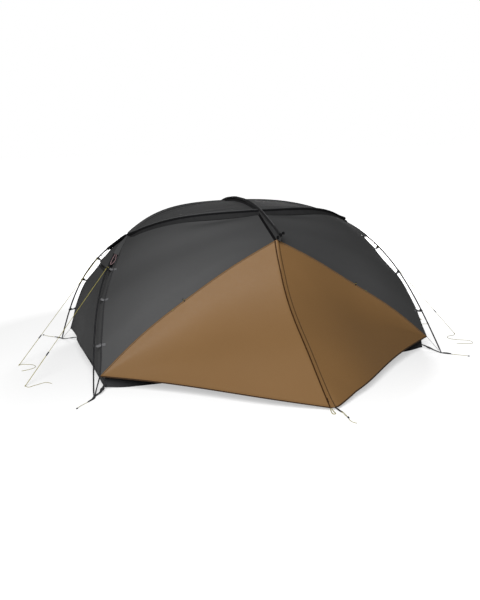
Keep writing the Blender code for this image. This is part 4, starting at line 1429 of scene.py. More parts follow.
def brow_fin(name, path, finish, spread=0.0):
    """The cloth between the brow sleeve and the fly: one web, or two that spread towards the fly."""
    top = path - UP * (SLEEVE_HALF_HEIGHT - 0.0012)
    seat = path.copy()
    seat[:, 2] = roof_height(path[:, 1]) + 0.0012
    share = np.linspace(0, 1, 9)[None, :, None]
    bow = 0.0025 * np.sin(math.pi * share[0, :, 0])[None] * np.sin(run_of(path) * 30)[:, None]
    webs = []
    for side in (-1, 1) if spread else (0,):
        grid = (1 - share) * top[:, None] + share * seat[:, None]
        grid[..., 0] += bow + side * (0.006 + (spread - 0.006) * share[..., 0])
        webs.append(cloth(name, [grid], finish))
    return gathered(name, webs)


def brow_cap():
    """The moulded cup that the brow pole's end sits in, with a rim and the knob that tensions the sleeve."""
    rubber = finish_of("rubber")
    cup, rim = barrel("cap", *CAP_CUP, rubber), barrel("rim", *CAP_RIM, rubber)
    rim.data.transform(Matrix.Translation((-0.009, 0, 0)))
    arm = block("arm", CAP_ARM[0], 0.001, rubber, 2, at=CAP_ARM[1])
    knob = block("knob", CAP_KNOB[0], 0.003, rubber, 3, at=CAP_KNOB[1])
    return smoothed(fused(cup, [rim, arm, knob]))


class TENT_OT_brow(bpy.types.Operator):
    """Make the brow pole's sleeve, the webs and fins that tie it to the ridge, its keepers and end caps"""
    bl_idname = "tent.make_brow"
    bl_label = "Brow sleeve"

    def execute(self, context):
        line = brow_line()
        settled(brow_sleeve(line), "sleeve_black", "sleeve_brow")
        middle = line[abs(line[:, 1]) < ARCH_CROWN[1] - 0.018]
        webs = brow_fin("brow_web", middle, finish_of("facing cloth"), SLEEVE_HALF_WIDTH)
        settled(webs, "sleeve_black")
        fins, caps = [], []
        for sign in SIDES.values():
            # A pale strip on the crest, beside the pole: a painted highlight of the sleeve's lit top edge
            reach = sign * line[:, 1]
            highlighted = line[(reach > BROW_HIGHLIGHT_REACH[0]) & (reach < BROW_HIGHLIGHT_REACH[1])]
            beside = highlighted + np.array([-sign * 0.0028, 0.0, SLEEVE_HALF_HEIGHT - 0.0012])
            fins.append(tube("piping", beside, 0.002, finish_of("tab webbing"), 8))
            part = line[reach > ARCH_CROWN[1] + 0.013]
            part = part if sign < 0 else part[::-1]
            fins.append(brow_fin("fin", part, finish_of("grey cloth")))
            line_out = unit(part[0] - part[1])
            caps.append(placed(brow_cap(), part[0], line_out, UP))
            keeper = block("keeper", KEEPER_SIZE, 0.0025, finish_of("rubber"), 2)
            caps.append(placed(keeper, np.array([0.0, sign * KEEPER_AT[0], KEEPER_AT[1]]), line_out, UP))
        joined("brow_fins", fins, "fly_grey")
        joined("brow_caps", caps, "sleeve_black")
        return {"FINISHED"}


def leg_of(corner):
    """The leg of a corner, from its crossing down to its foot."""
    sign_x, sign_y = CORNERS[corner]
    pole = BACK_POLE if sign_y < 0 else FRONT_POLE
    return pole[:FIRST + 1][::-1] if sign_x < 0 else pole[LAST:]


def corner_seam(corner):
    """The seam between a side and an end, with the outward direction along it."""
    sign_x, sign_y = CORNERS[corner]
    side = edge(side_panel(sign_x, sign_y), "start")
    end = edge(end_panel(sign_x), "start" if sign_y > 0 else "end")
    return side[0], unit(side[2] + end[2])


def half_cover(name, path, ups, depth, way, finish):
    """One half of a leg's sleeve: from over the pole's crest, round its side and down to the corner seam."""
    turns = np.radians(np.linspace(98, -25, 9))
    ripple = 1 + 0.05 * np.sin(run_of(path) * 2 * math.pi / 0.02)
    lines = tangents(path)
    sides = np.cross(lines, ups) * way
    grid = []
    for turn in turns:
        radius = LEG_SLEEVE_RADIUS * ripple[:, None]
        grid.append(path + radius * (math.cos(turn) * sides + math.sin(turn) * ups))
    last, seat = grid[-1], path + sides * 0.0012 - ups * depth[:, None]
    grid += [last * (1 - share) + seat * share for share in np.linspace(0.2, 1, 5)]
    return cloth(name, [np.stack(grid, axis=1)], finish, 0.0011)


# The pull tab's width and thickness, and its loop: how far each point is past the sleeve's end and below it
PULL_SIZE = 0.0048, 0.0018
PULL_LOOP = [(-0.012, 0.0078), (0.02, 0.0075), (0.068, 0.0085), (0.09, 0.015), (0.074, 0.024),
             (0.024, 0.0235), (-0.01, 0.015)]


def pull_tab(end, down, up):
    """The little loop of tape at a leg sleeve's lower end."""
    loop = sampled([end + down * ahead - up * low for ahead, low in PULL_LOOP], 26)
    return strap("tab", loop, np.cross(down, up), *PULL_SIZE, finish_of("pull tab"))


class TENT_OT_leg_sleeves(bpy.types.Operator):
    """Make the sleeve at the top of each pole leg, black and grey, with its gusset and pull tab"""
    bl_idname = "tent.make_leg_sleeves"
    bl_label = "Leg sleeves"

    def execute(self, context):
        grey_halves, tabs = [], []
        for corner, (_, sign_y) in CORNERS.items():
            leg, (seam, normals) = leg_of(corner), corner_seam(corner)
            stations = np.linspace(GUSSET_REACH[0], GUSSET_REACH[-1], 30)
            path = along(leg, stations)
            seat = along(seam, np.interp(stations, GUSSET_REACH, GUSSET_SEWN)) + normals[2] * 0.0014
            ups = square_to(path - seat, tangents(path))
            depth = np.sum((path - seat) * ups, axis=1)
            panel_way = 1 if np.cross(tangents(path), ups)[15][1] * sign_y > 0 else -1
            black = half_cover("leg_cover_" + corner, path, ups, depth, -panel_way, finish_of("black cloth"))
            settled(black, "sleeve_black", "sleeve_leg_" + corner)
            grey_halves.append(half_cover("gusset", path, ups, depth, panel_way, finish_of("grey cloth")))
            tabs.append(pull_tab(path[-1], unit(path[-1] - path[-2]), ups[-1]))
        joined("leg_gussets", grey_halves, "fly_grey")
        joined("pull_tabs", tabs, "webbing")
        return {"FINISHED"}


# Webbing, hooks and straps

# A pole hook: how far its bar lies from the pole's middle, its height, and its bar's, mouth's and slot's size
HOOK_BAR = 0.0142
HOOK_HEIGHT = 0.011
BAR_SIZE = (0.01, 0.0046, 0.02)
MOUTH_SIZE = (0.006, 0.012, 0.03)
SLOT_SIZE = (0.003, 0.02, 0.0165)

# Widths and thicknesses of the webbing down a seam, its end down to the foot, and the tabs
WEB_SIZE = WEBBING_WIDTH, 0.0018
DROP_SIZE = 0.012, 0.002
TAB_SIZE = 0.016, 0.0014

# Where the webbing starts down the corner seam, and where it ends beside the pole's foot
WEB_STARTS = 0.17
WEB_ENDS = (FOOT[0] - 0.011, FOOT[1] - 0.016, FLOOR_THICKNESS + 0.012)


def pole_hook():
    """A moulded hook at the origin: an open ring round a pole along Z, and a slotted bar at +X."""
    black = finish_of("plastic")
    ring = rod("hook", HOOK_RIM + 0.0002, HOOK_HEIGHT)
    bar = block("bar", BAR_SIZE, 0.001, black, 2, at=(HOOK_BAR - 0.0042, 0, 0))
    fused(ring, [bar])
    mouth = block("mouth", MOUTH_SIZE, 0.0008, black, 2, at=(-0.002, -0.0085, 0))
    slot = block("slot", SLOT_SIZE, 0.0005, black, 2, at=(HOOK_BAR - 0.0032, 0, 0))
    return cut(ring, [rod("hole", POLE_RADIUS + 0.0003, 0.03), mouth, slot])


def clip_tab(bar, inward, down, sewn, edge_at):
    """The grey tab from a hook's bar over the corner seam, sewn down on the side panel."""
    _, into, normals = edge_at
    lift = normals * 0.0022
    over = sewn + lift
    sag = (bar + over) / 2 - UP * 0.004
    route = [bar - inward * 0.002, sag, over, sewn + into * 0.014 + lift, sewn + into * 0.028 + lift]
    ups = np.linspace(0, 1, 19)[:, None]
    ups = np.cross(down, inward) * (1 - smooth(ups * 2)) + normals * smooth(ups * 2)
    return strap("tab", sampled(route, 18), ups, *TAB_SIZE, finish_of("tab webbing"))


class TENT_OT_webbing(bpy.types.Operator):
    """Sew webbing down each corner seam, with tabs and hooks to the pole and a strap to the foot"""
    bl_idname = "tent.make_webbing"
    bl_label = "Corner webbing"

    def execute(self, context):
        web = finish_of("webbing")
        pattern, hooks, tabs = pole_hook(), [], []
        for corner, (sign_x, sign_y) in CORNERS.items():
            leg, (seam, normals) = leg_of(corner), corner_seam(corner)
            side_edge = edge(side_panel(sign_x, sign_y), "start")
            start = int(WEB_STARTS * SEAM_STEPS)
            line = seam[start:] + normals[start:] * 0.0026
            foot = mirrored(np.array(WEB_ENDS), sign_x, sign_y)
            pieces = [strap("web", line, normals[start:], *WEB_SIZE, web)]
            drop = [line[-1] * (1 - s) + foot * s for s in np.linspace(-0.02, 1, 12)]
            pieces.append(strap("drop", drop, normals[-1], *DROP_SIZE, web))
            for station in CLIP_STATIONS:
                point, ahead = along(leg, [station, station + 0.01])
                down = unit(ahead - point)
                n = int(np.argmin(abs((line - point) @ down)))
                inward = unit((line[n] - point) - down * np.dot(line[n] - point, down))
                hooks.append(placed(copied(pattern), point, inward, down))
                beside = [values[start + n] for values in side_edge]
                tabs.append(clip_tab(point + inward * HOOK_BAR, inward, down, seam[start + n], beside))
            joined("corner_web_" + corner, pieces, "webbing", "webbing_" + corner)
        bpy.data.objects.remove(pattern)
        joined("pole_hooks", hooks, "webbing")
        joined("clip_tabs", tabs, "webbing")
        return {"FINISHED"}


# A ladder buckle and its two slots
BUCKLE_SIZE = (0.026, 0.024, 0.005)
BUCKLE_SLOT = (0.0048, 0.0165, 0.02)
BUCKLE_SLOTS_AT = (-0.0065, 0.0055)


def ladder_buckle():
    """A ladder buckle at the origin: a rounded plate with two slots for its strap, along X."""
    black = finish_of("plastic")
    plate = block("buckle", BUCKLE_SIZE, 0.0016, black)
    return cut(plate, [block("slot", BUCKLE_SLOT, 0.0012, black, 2, at=(place, 0, 0))
                       for place in BUCKLE_SLOTS_AT])


# A corner strap's points: the first ones from the tub's corner, and the others from the pole's foot
STRAP_BY_TUB = [(-0.006, -0.009, 0.035), (0.012, 0.02, 0.027), (0.019, 0.034, 0.0235),
                (0.032, 0.056, 0.0175), (0.04, 0.07, 0.0135)]
STRAP_BY_FOOT = [(-0.012, -0.024, 0.0042), (0.004, 0.01, 0.0018), (0.03, 0.044, 0.002),
                 (0.046, 0.064, 0.003)]
STRAP_WIDTHS = ([0, 0.62, 0.75, 0.9, 1], [0.016, 0.018, 0.02, 0.012, 0.01])
STRAP_THICKNESS = 0.0016
STRAP_BACK_SIZE = 0.015, 0.0014

# From the pole's foot: the twisted loop on the strap, and the bead on its stake-out cord
FOOT_LOOP = [(0.04, 0.056, 0.0044), (0.022, 0.034, 0.0062), (0.004, 0.012, 0.0042)]
FOOT_LOOP_SIZE = 0.012, 0.0014
BEAD_AT = (0.122, 0.148, 0.0042)
BEAD_SIZE = 0.012, 0.0034
STAKE_CORD_RADIUS = 0.0015


def stake_cord(tip, bead_at, bow):
    """A corner's stake-out cord, from its strap's tip along the ground to its bead."""
    path = sampled([tip - (bead_at - tip) * 0.08, tip * 0.6 + bead_at * 0.4 + bow, bead_at], 20)
    path[:, 2] = np.maximum(path[:, 2], 0.0016)
    return tube("stake_cord", path, STAKE_CORD_RADIUS, finish_of("cord"), 8)


class TENT_OT_corner_straps(bpy.types.Operator):
    """Make the strap from each tub corner through its buckle to the foot, with its stake-out cord"""
    bl_idname = "tent.make_corner_straps"
    bl_label = "Corner straps"

    def execute(self, context):
        web = finish_of("webbing")
        buckles, cords, beads = [], [], []
        for corner, (sign_x, sign_y) in CORNERS.items():
            signs = np.array([sign_x, sign_y, 1])
            tub = np.array([TUB_OUTLINE[2][0] + sign_x * TUB_SHIFT, TUB_OUTLINE[2][1], 0.0])
            foot = np.array([FOOT[0], FOOT[1], 0.0])
            run = np.concatenate([tub + STRAP_BY_TUB, foot + STRAP_BY_FOOT]) * signs
            path = sampled(run, 40)
            widths = np.interp(np.linspace(0, 1, 41), *STRAP_WIDTHS)
            low = strap("low", path, UP, widths, STRAP_THICKNESS, web)
            back = strap("back", path[3:16] + UP * 0.0026, UP, *STRAP_BACK_SIZE, web)
            twist = sampled((foot + FOOT_LOOP) * signs, 10)
            loop = strap("loop", twist, UP + 0.4 * signs[1] * np.array([1, 0, 0]), *FOOT_LOOP_SIZE, web)
            joined("foot_strap_" + corner, [low, back, loop], "webbing", "corner_strap_" + corner)
            middle, way = (run[2] + run[3]) / 2 + UP * 0.0002, run[3] - run[1]
            buckles.append(placed(ladder_buckle(), middle, way, UP))
            tip, bead_at = run[-1] - UP * 0.0006, (foot + BEAD_AT) * signs
            cords.append(stake_cord(tip, bead_at, np.array([sign_x * 0.004, -sign_y * 0.003, -0.001])))
            bead = barrel("bead", *BEAD_SIZE, finish_of("plastic"), 1.2)
            beads.append(placed(bead, bead_at, bead_at - tip, UP))
        joined("ladder_buckles", buckles, "webbing")
        joined("stake_cords", cords, "guy_cord")
        joined("cord_beads", beads, "webbing")
        return {"FINISHED"}


# The loose ends on the ground, from their anchors; the back ones mirror each other
BACK_TAIL = [(1.566, 0.146), (1.54, 0.136), (1.51, 0.12), (1.487, 0.049), (1.52, 0.015), (1.582, -0.005)]
GUY_TAILS = {
    "front_left": [(-1.57, -0.366), (-1.54, -0.35), (-1.51, -0.335), (-1.458, -0.314), (-1.424, -0.349)],
    "front_right": [(1.57, -0.362), (1.52, -0.372), (1.48, -0.411), (1.516, -0.486), (1.582, -0.548),
                    (1.57, -0.598), (1.455, -0.562)],
    "back_left": [(-x, y) for x, y in BACK_TAIL],
    "back_right": BACK_TAIL,
}

# The share of a guyline where its slider is, the two strands below it, and its knots: distances along it,
# and radii
GUY_SLIDER_AT = 0.732
GUY_SLIDER_SIZE = (0.03, 0.009, 0.0062)
DOUBLED_RADIUS = 0.0014
DOUBLED_APART = 0.0019
DOUBLED_SPREAD = [0.6] + [1.0] * 11 + [0.8, 0.3]
TOP_KNOT = (np.linspace(0.004, 0.016, 7), [0.0012, 0.0026, 0.003, 0.0022, 0.003, 0.0026, 0.0012])
END_KNOT = ([-0.012, -0.009, -0.005, -0.001, 0.002], [0.0013, 0.003, 0.0026, 0.0031, 0.0014])


def guy_slider():
    """A cord tensioner at the origin: a small rounded plate with two holes, its length along X."""
    plate = block("slider", GUY_SLIDER_SIZE, 0.0018, finish_of("plastic"))
    return cut(plate, [rod("hole", 0.0021, 0.02, at=(place, 0, 0)) for place in (-0.009, 0.009)])


def guyline(top, down, anchor):
    """A taut guyline's meshes, with its slider's place, its line and the slider's upward direction."""
    yellow = finish_of("cord")
    away = anchor - top
    away = unit(away - down * np.dot(away, down))
    start = top + away * (HOOK_RIM + CORD_RADIUS)
    line, length = unit(anchor - start), np.linalg.norm(anchor - start)
    slide = start + line * length * GUY_SLIDER_AT
    aside = unit(np.cross(line, UP)) * DOUBLED_APART
    ring = [top + HOOK_RIM * 1.08 * (math.cos(a) * away + math.sin(a) * np.cross(away, down))
            for a in np.linspace(0, 2 * math.pi, 17)]
    upper = [start + line * d for d in np.linspace(0, length * GUY_SLIDER_AT, 24)]
    pieces = [tube("loop", ring, 0.0011, yellow, 8), tube("upper", upper, CORD_RADIUS, yellow, 8)]
    pieces.append(tube("knot", [start + line * d for d in TOP_KNOT[0]], TOP_KNOT[1], yellow, 8))
    rest = length * (1 - GUY_SLIDER_AT) - 0.004
    for side in (1, -1):
        low = [slide + line * d * rest + aside * side * spread
               for d, spread in zip(np.linspace(0, 1, 14), DOUBLED_SPREAD)]
        pieces.append(tube("lower", low, DOUBLED_RADIUS, yellow, 8))
    knot = [anchor + line * d + UP * 0.0009 for d in END_KNOT[0]]
    pieces.append(tube("end_knot", knot, END_KNOT[1], yellow, 10))
    return pieces, slide, line, np.cross(line, aside)


def loose_end(anchor, line, points):
    """The route of a guyline's loose end, from its knot at the anchor over the ground."""
    ground = CORD_RADIUS + 0.0002
    loose = [anchor - line * 0.004 + UP * 0.0004] + [np.array([x, y, ground]) for x, y in points]
    route = sampled(loose, 60)
    route[:, 2] = np.maximum(route[:, 2], ground)
    return route


class TENT_OT_guylines(bpy.types.Operator):
    """Make the taut guylines with their sliders and knots, and their loose ends on the ground"""
    bl_idname = "tent.make_guylines"
    bl_label = "Guylines"

    def execute(self, context):
        sliders = []
        for corner, (sign_x, _) in CORNERS.items():
            top, ahead = along(leg_of(corner), [CLIP_STATIONS[0], CLIP_STATIONS[0] + 0.01])
            anchor = np.array([sign_x * GUY_REACH, GUY_ANCHOR_Y[corner.split("_")[0]], CORD_RADIUS + 0.0006])
            pieces, slide, line, up = guyline(top, unit(ahead - top), anchor)
            joined("guy_" + corner, pieces, "guy_cord", "guyline_" + corner)
            sliders.append(placed(guy_slider(), slide, line, up))
            route = loose_end(anchor, line, GUY_TAILS[corner])
            tail = tube("guy_tail_" + corner, route, CORD_RADIUS, finish_of("cord"), 8)
            settled(tail, "guy_cord")
            tuple(route[0])
            float(run_of(route)[-1])
            [tuple(p) for p in route]
        joined("guy_sliders", sliders, "guy_cord")
        return {"FINISHED"}


# Doors

# The zip lies beside the ridge at the peak and comes to it over a reach
ZIP_SHIFT = 0.011
ZIP_SHIFT_REACH = 0.24
TAPE_SIZE = 0.011, 0.0011
TOOTH = (0.002, 0.007, 0.0013)
TOOTH_PITCH = 0.0034

# The zip's slider: how far up from the zip's lower end it is, and the sizes of its body, bridge and pull
SLIDER_UP = 0.06
SLIDER_BODY = (0.0125, 0.009, 0.0048)
SLIDER_BRIDGE = (0.008, 0.0026, 0.003)
SLIDER_PULL = (0.024, 0.006, 0.0018)

# The flap: how far from the ridge it starts, over what length it widens below the peak, and its end
FLAP_STARTS = 0.0065
FLAP_SPREADS_OVER = 0.25
TOE_REACH = 0.07
TOE_WIDTH = 0.03
FLAP_THICKNESS = 0.0012
FLAP_PIPING_SIZE = 0.0075, 0.0012

# The flap's lines with their heights: those by the zip, and the others as shares of its width
FLAP_BY_ZIP = ((-0.003, 0.0036), (-0.0055, 0.004))
FLAP_OVER_DOOR = ((0.25, 0.0042), (0.5, 0.0038), (0.75, 0.0034), (0.93, 0.0034), (1.0, 0.0016))


def storm_flap(ridge, across, face, other, other_face, shift):
    """The flap's grid: from beside the zip, over the ridge and on to its hemmed edge."""
    run = run_of(ridge)
    spread = FLAP_WIDTH * FLAP_SHARE * (0.2 + 0.8 * smooth(run / FLAP_SPREADS_OVER))
    spread += (TOE_WIDTH - FLAP_STARTS - spread) * smooth(1 - (run[-1] - run) / TOE_REACH)
    spread = spread[:, None]
    columns = []
    for beside, rise in FLAP_BY_ZIP:
        columns.append(ridge + other * np.maximum(shift + beside, 0.0) + other_face * rise
                       + across * np.maximum(-shift - beside, 0.0))
    columns.append(ridge + unit(face + other_face) * 0.0046 + across * 0.004)
    for share, rise in FLAP_OVER_DOOR:
        columns.append(ridge + across * (FLAP_STARTS + share * spread) + face * rise)
    return np.stack(columns, axis=1)


class TENT_OT_doors(bpy.types.Operator):
    """Make each door's zip with its teeth and slider, and the storm flap beside it"""
    bl_idname = "tent.make_doors"
    bl_label = "Door zips and storm flaps"

    def execute(self, context):
        ridge, across, face = edge(door_panel(1, -1), "high")
        _, other, other_face = edge(door_panel(-1, -1), "high")
        ups = unit(face * np.array([0, 1, 1]))
        shift = ZIP_SHIFT * (1 - smooth(run_of(ridge) / ZIP_SHIFT_REACH))[:, None]
        seat = ridge + other * shift
        lean = unit(ups + (other_face - ups) * np.minimum(shift / 0.01, 1))
        front_grid = storm_flap(ridge, across, face, other, other_face, shift)
        for side, spin in HALF_TURNS.items():
            line, lifts = (seat + lean * 0.0022) * spin, lean * spin
            tape = strap("zip_tape_" + side, line, lifts, *TAPE_SIZE, finish_of("zip tape"))
            settled(tape, "zip", "zip_" + side)
            settled(zip_teeth("zip_teeth_" + side, line, lifts), "zip")
            settled(zip_slider("zip_slider_" + side, line, lifts), "zip")
            grid = front_grid * spin
            flap = cloth("flap_" + side, [grid], finish_of("brown cloth"), FLAP_THICKNESS)
            settled(flap, "vestibule_brown", "storm_flap_" + side)
            rim = grid[:, -1] + (face * 0.0022 + across * 0.0015) * spin
            piping = strap("flap_piping_" + side, rim, face * spin, *FLAP_PIPING_SIZE, finish_of("flap edge"))
            settled(piping, "vestibule_brown")
        return {"FINISHED"}


def zip_teeth(name, line, lifts):
    """The coil of teeth along a zip, one small tooth repeated and set to the two sides in turn."""
    places = np.arange(0.008, run_of(line)[-1] - 0.01, TOOTH_PITCH)
    points, lifts = along(line, places), along(lifts, places, run_of(line))
    ways = tangents(points)
    ups = square_to(lifts, ways)
    leans = np.where(np.arange(len(points)) % 2, 0.0005, -0.0005)[:, None] * np.cross(ways, ups)
    pattern = block("tooth", TOOTH, 0.0003, finish_of("zip teeth"), 1)
    return repeated(name, pattern, points + leans + ups * 0.0011, ways, ups)


def zip_slider(name, line, lifts):
    """The slider near a closed zip's lower end, with its pull."""
    place = run_of(line)[-1] - SLIDER_UP
    at, below = along(line, [place, place + 0.02])
    up, metal = lifts[-8], finish_of("zip teeth")
    body = block("body", SLIDER_BODY, 0.0014, metal)
    bridge = block("bridge", SLIDER_BRIDGE, 0.0008, metal, 2, at=(0, 0, 0.0032))
    pull = block("pull", SLIDER_PULL, 0.0007, metal, 2, at=(0.014, 0, 0.004))
    return placed(gathered(name, [fused(body, [bridge]), pull]), at + up * 0.0022, below - at, up)


# A hood covers these rows of the end panel and all but a margin of its columns; its rim stands off the cloth
VENT_ROWS = (7, 15)
VENT_MARGIN = END_STEPS // 8
HOOD_SEAT = 0.0016
HOOD_STAND = 0.0285
HOOD_THICKNESS = 0.0012
NET_THICKNESS = 0.0005


class TENT_OT_vents(bpy.types.Operator):
    """Make each end's vent hood, and the dark netting behind and a little below it, partly painted shade of
    the vent's opening
    """
    bl_idname = "tent.make_vents"
    bl_label = "Vent hoods"

    def execute(self, context):
        nets, cheeks = [], []
        first, last = VENT_ROWS
        span = slice(VENT_MARGIN, END_STEPS - VENT_MARGIN + 1)
        for name, sign in ENDS.items():
            grid = end_panel(sign)
            normals = grid_normals(grid)
            rows, away = grid[first:last + 1, span], normals[first:last + 1, span]
            down = np.linspace(0, 1, len(rows))[:, None]
            across = np.linspace(-1, 1, rows.shape[1])[None]
            stand = HOOD_SEAT + HOOD_STAND * down ** 1.2 * (1 - 0.35 * abs(across) ** 5)
            rim = rows + away * stand[..., None]
            hood = cloth("hood_" + name, [rim], finish_of("grey cloth"), HOOD_THICKNESS)
            share = np.linspace(0, 1, 5)[None, :, None]
            for column in (0, -1):
                seat = rows[:, column] + away[:, column] * 0.0008
                cheek = seat[:, None] * share + rim[:, column][:, None] * (1 - share)
                cheeks.append(cloth("cheek", [cheek], finish_of("black cloth")))
            settled(hood, "fly_grey", "vent_hood_" + name)
            # The netting runs two rows below the hood: real netting, whose dark tone there also paints the
            # shade in the vent's opening
            window = slice(first + 2, last + 3), span
            net = grid[window] + normals[window] * 0.0012
            nets.append(cloth("net", [net], finish_of("netting"), NET_THICKNESS))
        joined("vent_netting", nets, "fly_grey")
        joined("vent_cheeks", cheeks, "sleeve_black")
        return {"FINISHED"}


# Floor

TUB_BINDING_SIZE = 0.008, 0.0022


def tub_corner_distance(points):
    """How far each point is from the nearest corner of the tub, seen from above."""
    corner_x, corner_y = TUB_OUTLINE[2]
    corners = [np.array([x * corner_x + TUB_SHIFT, y * corner_y]) for x, y in CORNERS.values()]
    return np.min([np.linalg.norm(points[:, :2] - corner, axis=1) for corner in corners], axis=0)


def tub_lift(points, height):
    """How far the straps lift the tub's wall near its corners: most at the bottom, less at the top."""
    near = np.exp(-(tub_corner_distance(points) / TUB_LIFT_REACH) ** 2)
    return TUB_CORNER_LIFT * near * (1 - 0.75 * min(height / TUB_HEIGHT, 1.0))


def tub_loop():
    """The tub's outline on the ground, all the way round."""
    end = sampled([(x, y, 0.0) for x, y in TUB_OUTLINE[:3]], 40)[:-1]
    side = sampled([(x, y, 0.0) for x, y in TUB_OUTLINE[2:]], 70)
    half = np.concatenate([end, side])
    half = np.concatenate([half, mirrored(half[::-1], -1, 1)[1:]])
    loop = np.concatenate([half, mirrored(half[::-1], 1, -1)[1:-1]])
    loop[:, 0] += TUB_SHIFT
    return loop


def tub_profile():
    """Insets and heights round the tub's section: its bottom, the wall's two faces and the floor."""
    profile = [(0.3, 0.0), (0.04, 0.0), (0.002, 0.0), (0.0, 0.002)]
    wall = [(TUB_LEAN * share ** 1.4, TUB_HEIGHT * share) for share in np.linspace(0.1, 1.0, 10)]
    profile += wall + [(inset + 0.0012, height) for inset, height in reversed(wall)]
    return profile + [(0.02, FLOOR_THICKNESS * 0.5), (0.3, FLOOR_THICKNESS * 0.5)]


class TENT_OT_tub(bpy.types.Operator):
    """Make the tub floor: its flat bottom and its soft wall with a bound top edge"""
    bl_idname = "tent.make_tub"
    bl_label = "Tub floor"

    def execute(self, context):
        loop = tub_loop()
        run = run_of(loop)
        gathers = 0.0022 * np.exp(-tub_corner_distance(loop) / 0.1) * np.sin(run * 2 * math.pi / 0.028)
        slack = 0.0014 * np.sin(run * 2 * math.pi / 0.31) + gathers
        inward = unit(np.cross(UP, tangents(loop)))
        inward *= np.sign(np.sum(inward * -loop, axis=1))[:, None]
        rings = []
        for inset, height in tub_profile():
            bulge = slack * math.sin(math.pi * min(height / TUB_HEIGHT, 1.0))
            ring = loop + inward * (inset + bulge[:, None]) + UP * height
            rings.append(ring + tub_lift(ring, height)[:, None] * UP)
        settled(lofted("tub", rings, finish_of("tub cloth"), sharp=60), "tub", "tub_floor")
        top = loop + inward * (TUB_LEAN + 0.0006) + UP * (TUB_HEIGHT - 0.003)
        top = top + tub_lift(top, TUB_HEIGHT)[:, None] * UP
        rim, ups = (np.concatenate([values, values[:2]]) for values in (top, inward))
        settled(strap("tub_binding", rim, ups, *TUB_BINDING_SIZE, finish_of("webbing")), "webbing")
        return {"FINISHED"}


# Toes and toggles

# At the front toe: its strap, its stake-out cord with how far the second strand lies beside it, its bead
# and the loop
TOE_STRAP = [(0.026, -1.434, 0.02), (0.04, -1.456, 0.0125), (0.049, -1.478, 0.0048),
             (0.053, -1.5, 0.0028)]
TOE_CORD = [(0.0515, -1.49, 0.0034), (0.052, -1.512, 0.002), (0.0475, -1.546, 0.0018),
            (0.045, -1.584, 0.0026), (0.042, -1.602, 0.002), (0.0375, -1.631, 0.0018),
            (0.042, -1.662, 0.0018), (0.053, -1.68, 0.0018)]
TOE_STRAND = [(0.0065, 0, 0)] * 3 + [(0.0013, 0, 0)]
TOE_STRAP_SIZE = 0.014, 0.002
TOE_BEAD_SIZE = 0.014, 0.0045
TOE_BEAD_AT = (0.045, -1.592, 0.0054)
TOE_BEAD_WAY = (-0.12, -1, 0)
TOE_LOOP = [(0.003, -1.45, 0.0185), (0.0, -1.466, 0.006), (-0.005, -1.49, 0.0027),
            (-0.004, -1.509, 0.0027), (0.005, -1.511, 0.0027), (0.012, -1.492, 0.0027),
            (0.012, -1.468, 0.006), (0.01, -1.451, 0.0185)]
TOE_CORD_RADIUS = 0.0016
TOE_LOOP_RADIUS = 0.0024


class TENT_OT_toe_straps(bpy.types.Operator):
    """Make the strap under the toe of each vestibule, with the cord that stakes it out"""
    bl_idname = "tent.make_toe_straps"
    bl_label = "Toe straps"

    def execute(self, context):
        cord, cords, beads = finish_of("cord"), [], []
        for side, spin in HALF_TURNS.items():
            run = sampled(TOE_STRAP * spin, 24)
            web = strap("toe_web_" + side, run, UP, *TOE_STRAP_SIZE, finish_of("webbing"))
            settled(web, "webbing", "toe_strap_" + side)
            route = TOE_CORD * spin
            beside = route[:4] + TOE_STRAND
            cords.append(tube("toe_cord", sampled(route, 40), TOE_CORD_RADIUS, cord, 8))
            cords.append(tube("toe_cord", sampled(beside, 24), TOE_CORD_RADIUS, cord, 8))
            bead = barrel("bead", *TOE_BEAD_SIZE, finish_of("plastic"), 1.15)
            beads.append(placed(bead, TOE_BEAD_AT * spin, TOE_BEAD_WAY * spin, UP))
            loop = sampled(TOE_LOOP * spin, 40)
            cords.append(tube("toe_loop", loop, TOE_LOOP_RADIUS, cord, 8))
        joined("toe_cords", cords, "guy_cord")
        joined("toe_beads", beads, "webbing")
        return {"FINISHED"}


# Shares of the brown seam, from the peak, where the toggle and the loop are
TOGGLE_SHARE = 0.498
LOOP_SHARE = 0.558
TOGGLE_RISE = 0.0062
TOGGLE_SIZE = 0.024, 0.0034


def cord_loop(foot, way, normal, height):
    """A little loop of cord that stands on a seam."""
    points = [foot + way * 0.004 + normal * 0.001, foot + way * 0.005 + normal * height * 0.6,
              foot + normal * height, foot - way * 0.005 + normal * height * 0.6,
              foot - way * 0.004 + normal * 0.001]
    return tube("loop", sampled(points, 14), 0.0011, finish_of("cord"), 6)


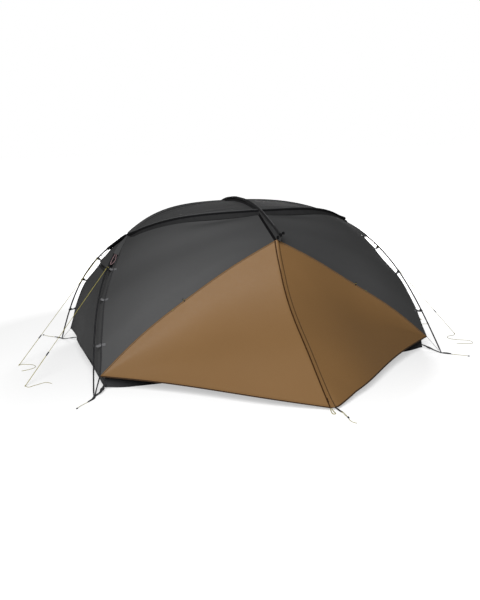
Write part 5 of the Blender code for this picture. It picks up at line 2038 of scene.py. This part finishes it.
class TENT_OT_toggles(bpy.types.Operator):
    """Add the toggle and loop on each brown seam that hold an open door back"""
    bl_idname = "tent.make_toggles"
    bl_label = "Door toggles"

    def execute(self, context):
        toggles, loops = [], []
        for signs in CORNERS.values():
            line, into, normals = edge(side_panel(*signs), "high")
            run, ways = run_of(line[::-1]), tangents(line)
            n, m = (len(line) - 1 - int(np.searchsorted(run, share * run[-1]))
                    for share in (TOGGLE_SHARE, LOOP_SHARE))
            at = line[n] + into[n] * 0.006 + normals[n] * TOGGLE_RISE
            bar = barrel("toggle", *TOGGLE_SIZE, finish_of("plastic"), 0.78)
            toggles.append(placed(bar, at, into[n], normals[n]))
            loops.append(cord_loop(at - normals[n] * TOGGLE_RISE, ways[n], normals[n], 0.0105))
            loops.append(cord_loop(line[m], ways[m], normals[m] - 0.5 * into[m], 0.014))
        joined("door_toggles", toggles, "webbing")
        joined("toggle_loops", loops, "guy_cord")
        return {"FINISHED"}


OPERATORS = (
    TENT_OT_stage, TENT_OT_fly, TENT_OT_vestibules, TENT_OT_seams, TENT_OT_poles, TENT_OT_arch_sleeves,
    TENT_OT_brow, TENT_OT_leg_sleeves, TENT_OT_webbing, TENT_OT_corner_straps, TENT_OT_guylines,
    TENT_OT_doors, TENT_OT_vents, TENT_OT_tub, TENT_OT_toe_straps, TENT_OT_toggles,
)


class VIEW3D_PT_tent(bpy.types.Panel):
    """Colours, sizes and pieces of the tent"""
    bl_label = "Two-Person Tent"
    bl_idname = "VIEW3D_PT_tent"
    bl_space_type = "VIEW_3D"
    bl_region_type = "UI"
    bl_category = "Tent"

    def draw(self, context):
        for group in (context.scene.tent_look, context.scene.stage_look):
            for name in group.bl_rna.properties.keys()[2:]:
                self.layout.prop(group, name)
        for operator in OPERATORS:
            self.layout.operator(operator.bl_idname)


CLASSES = (TentLook, StageLook) + OPERATORS + (VIEW3D_PT_tent,)


def register():
    for made in CLASSES:
        bpy.utils.register_class(made)
    bpy.types.Scene.tent_look = bpy.props.PointerProperty(type=TentLook)
    bpy.types.Scene.stage_look = bpy.props.PointerProperty(type=StageLook)


def unregister():
    del bpy.types.Scene.stage_look
    del bpy.types.Scene.tent_look
    for made in reversed(CLASSES):
        bpy.utils.unregister_class(made)


def main():
    register()
    for operator in OPERATORS:
        group, action = operator.bl_idname.split(".")
        getattr(getattr(bpy.ops, group), action)()


if __name__ == "__main__":
    main()
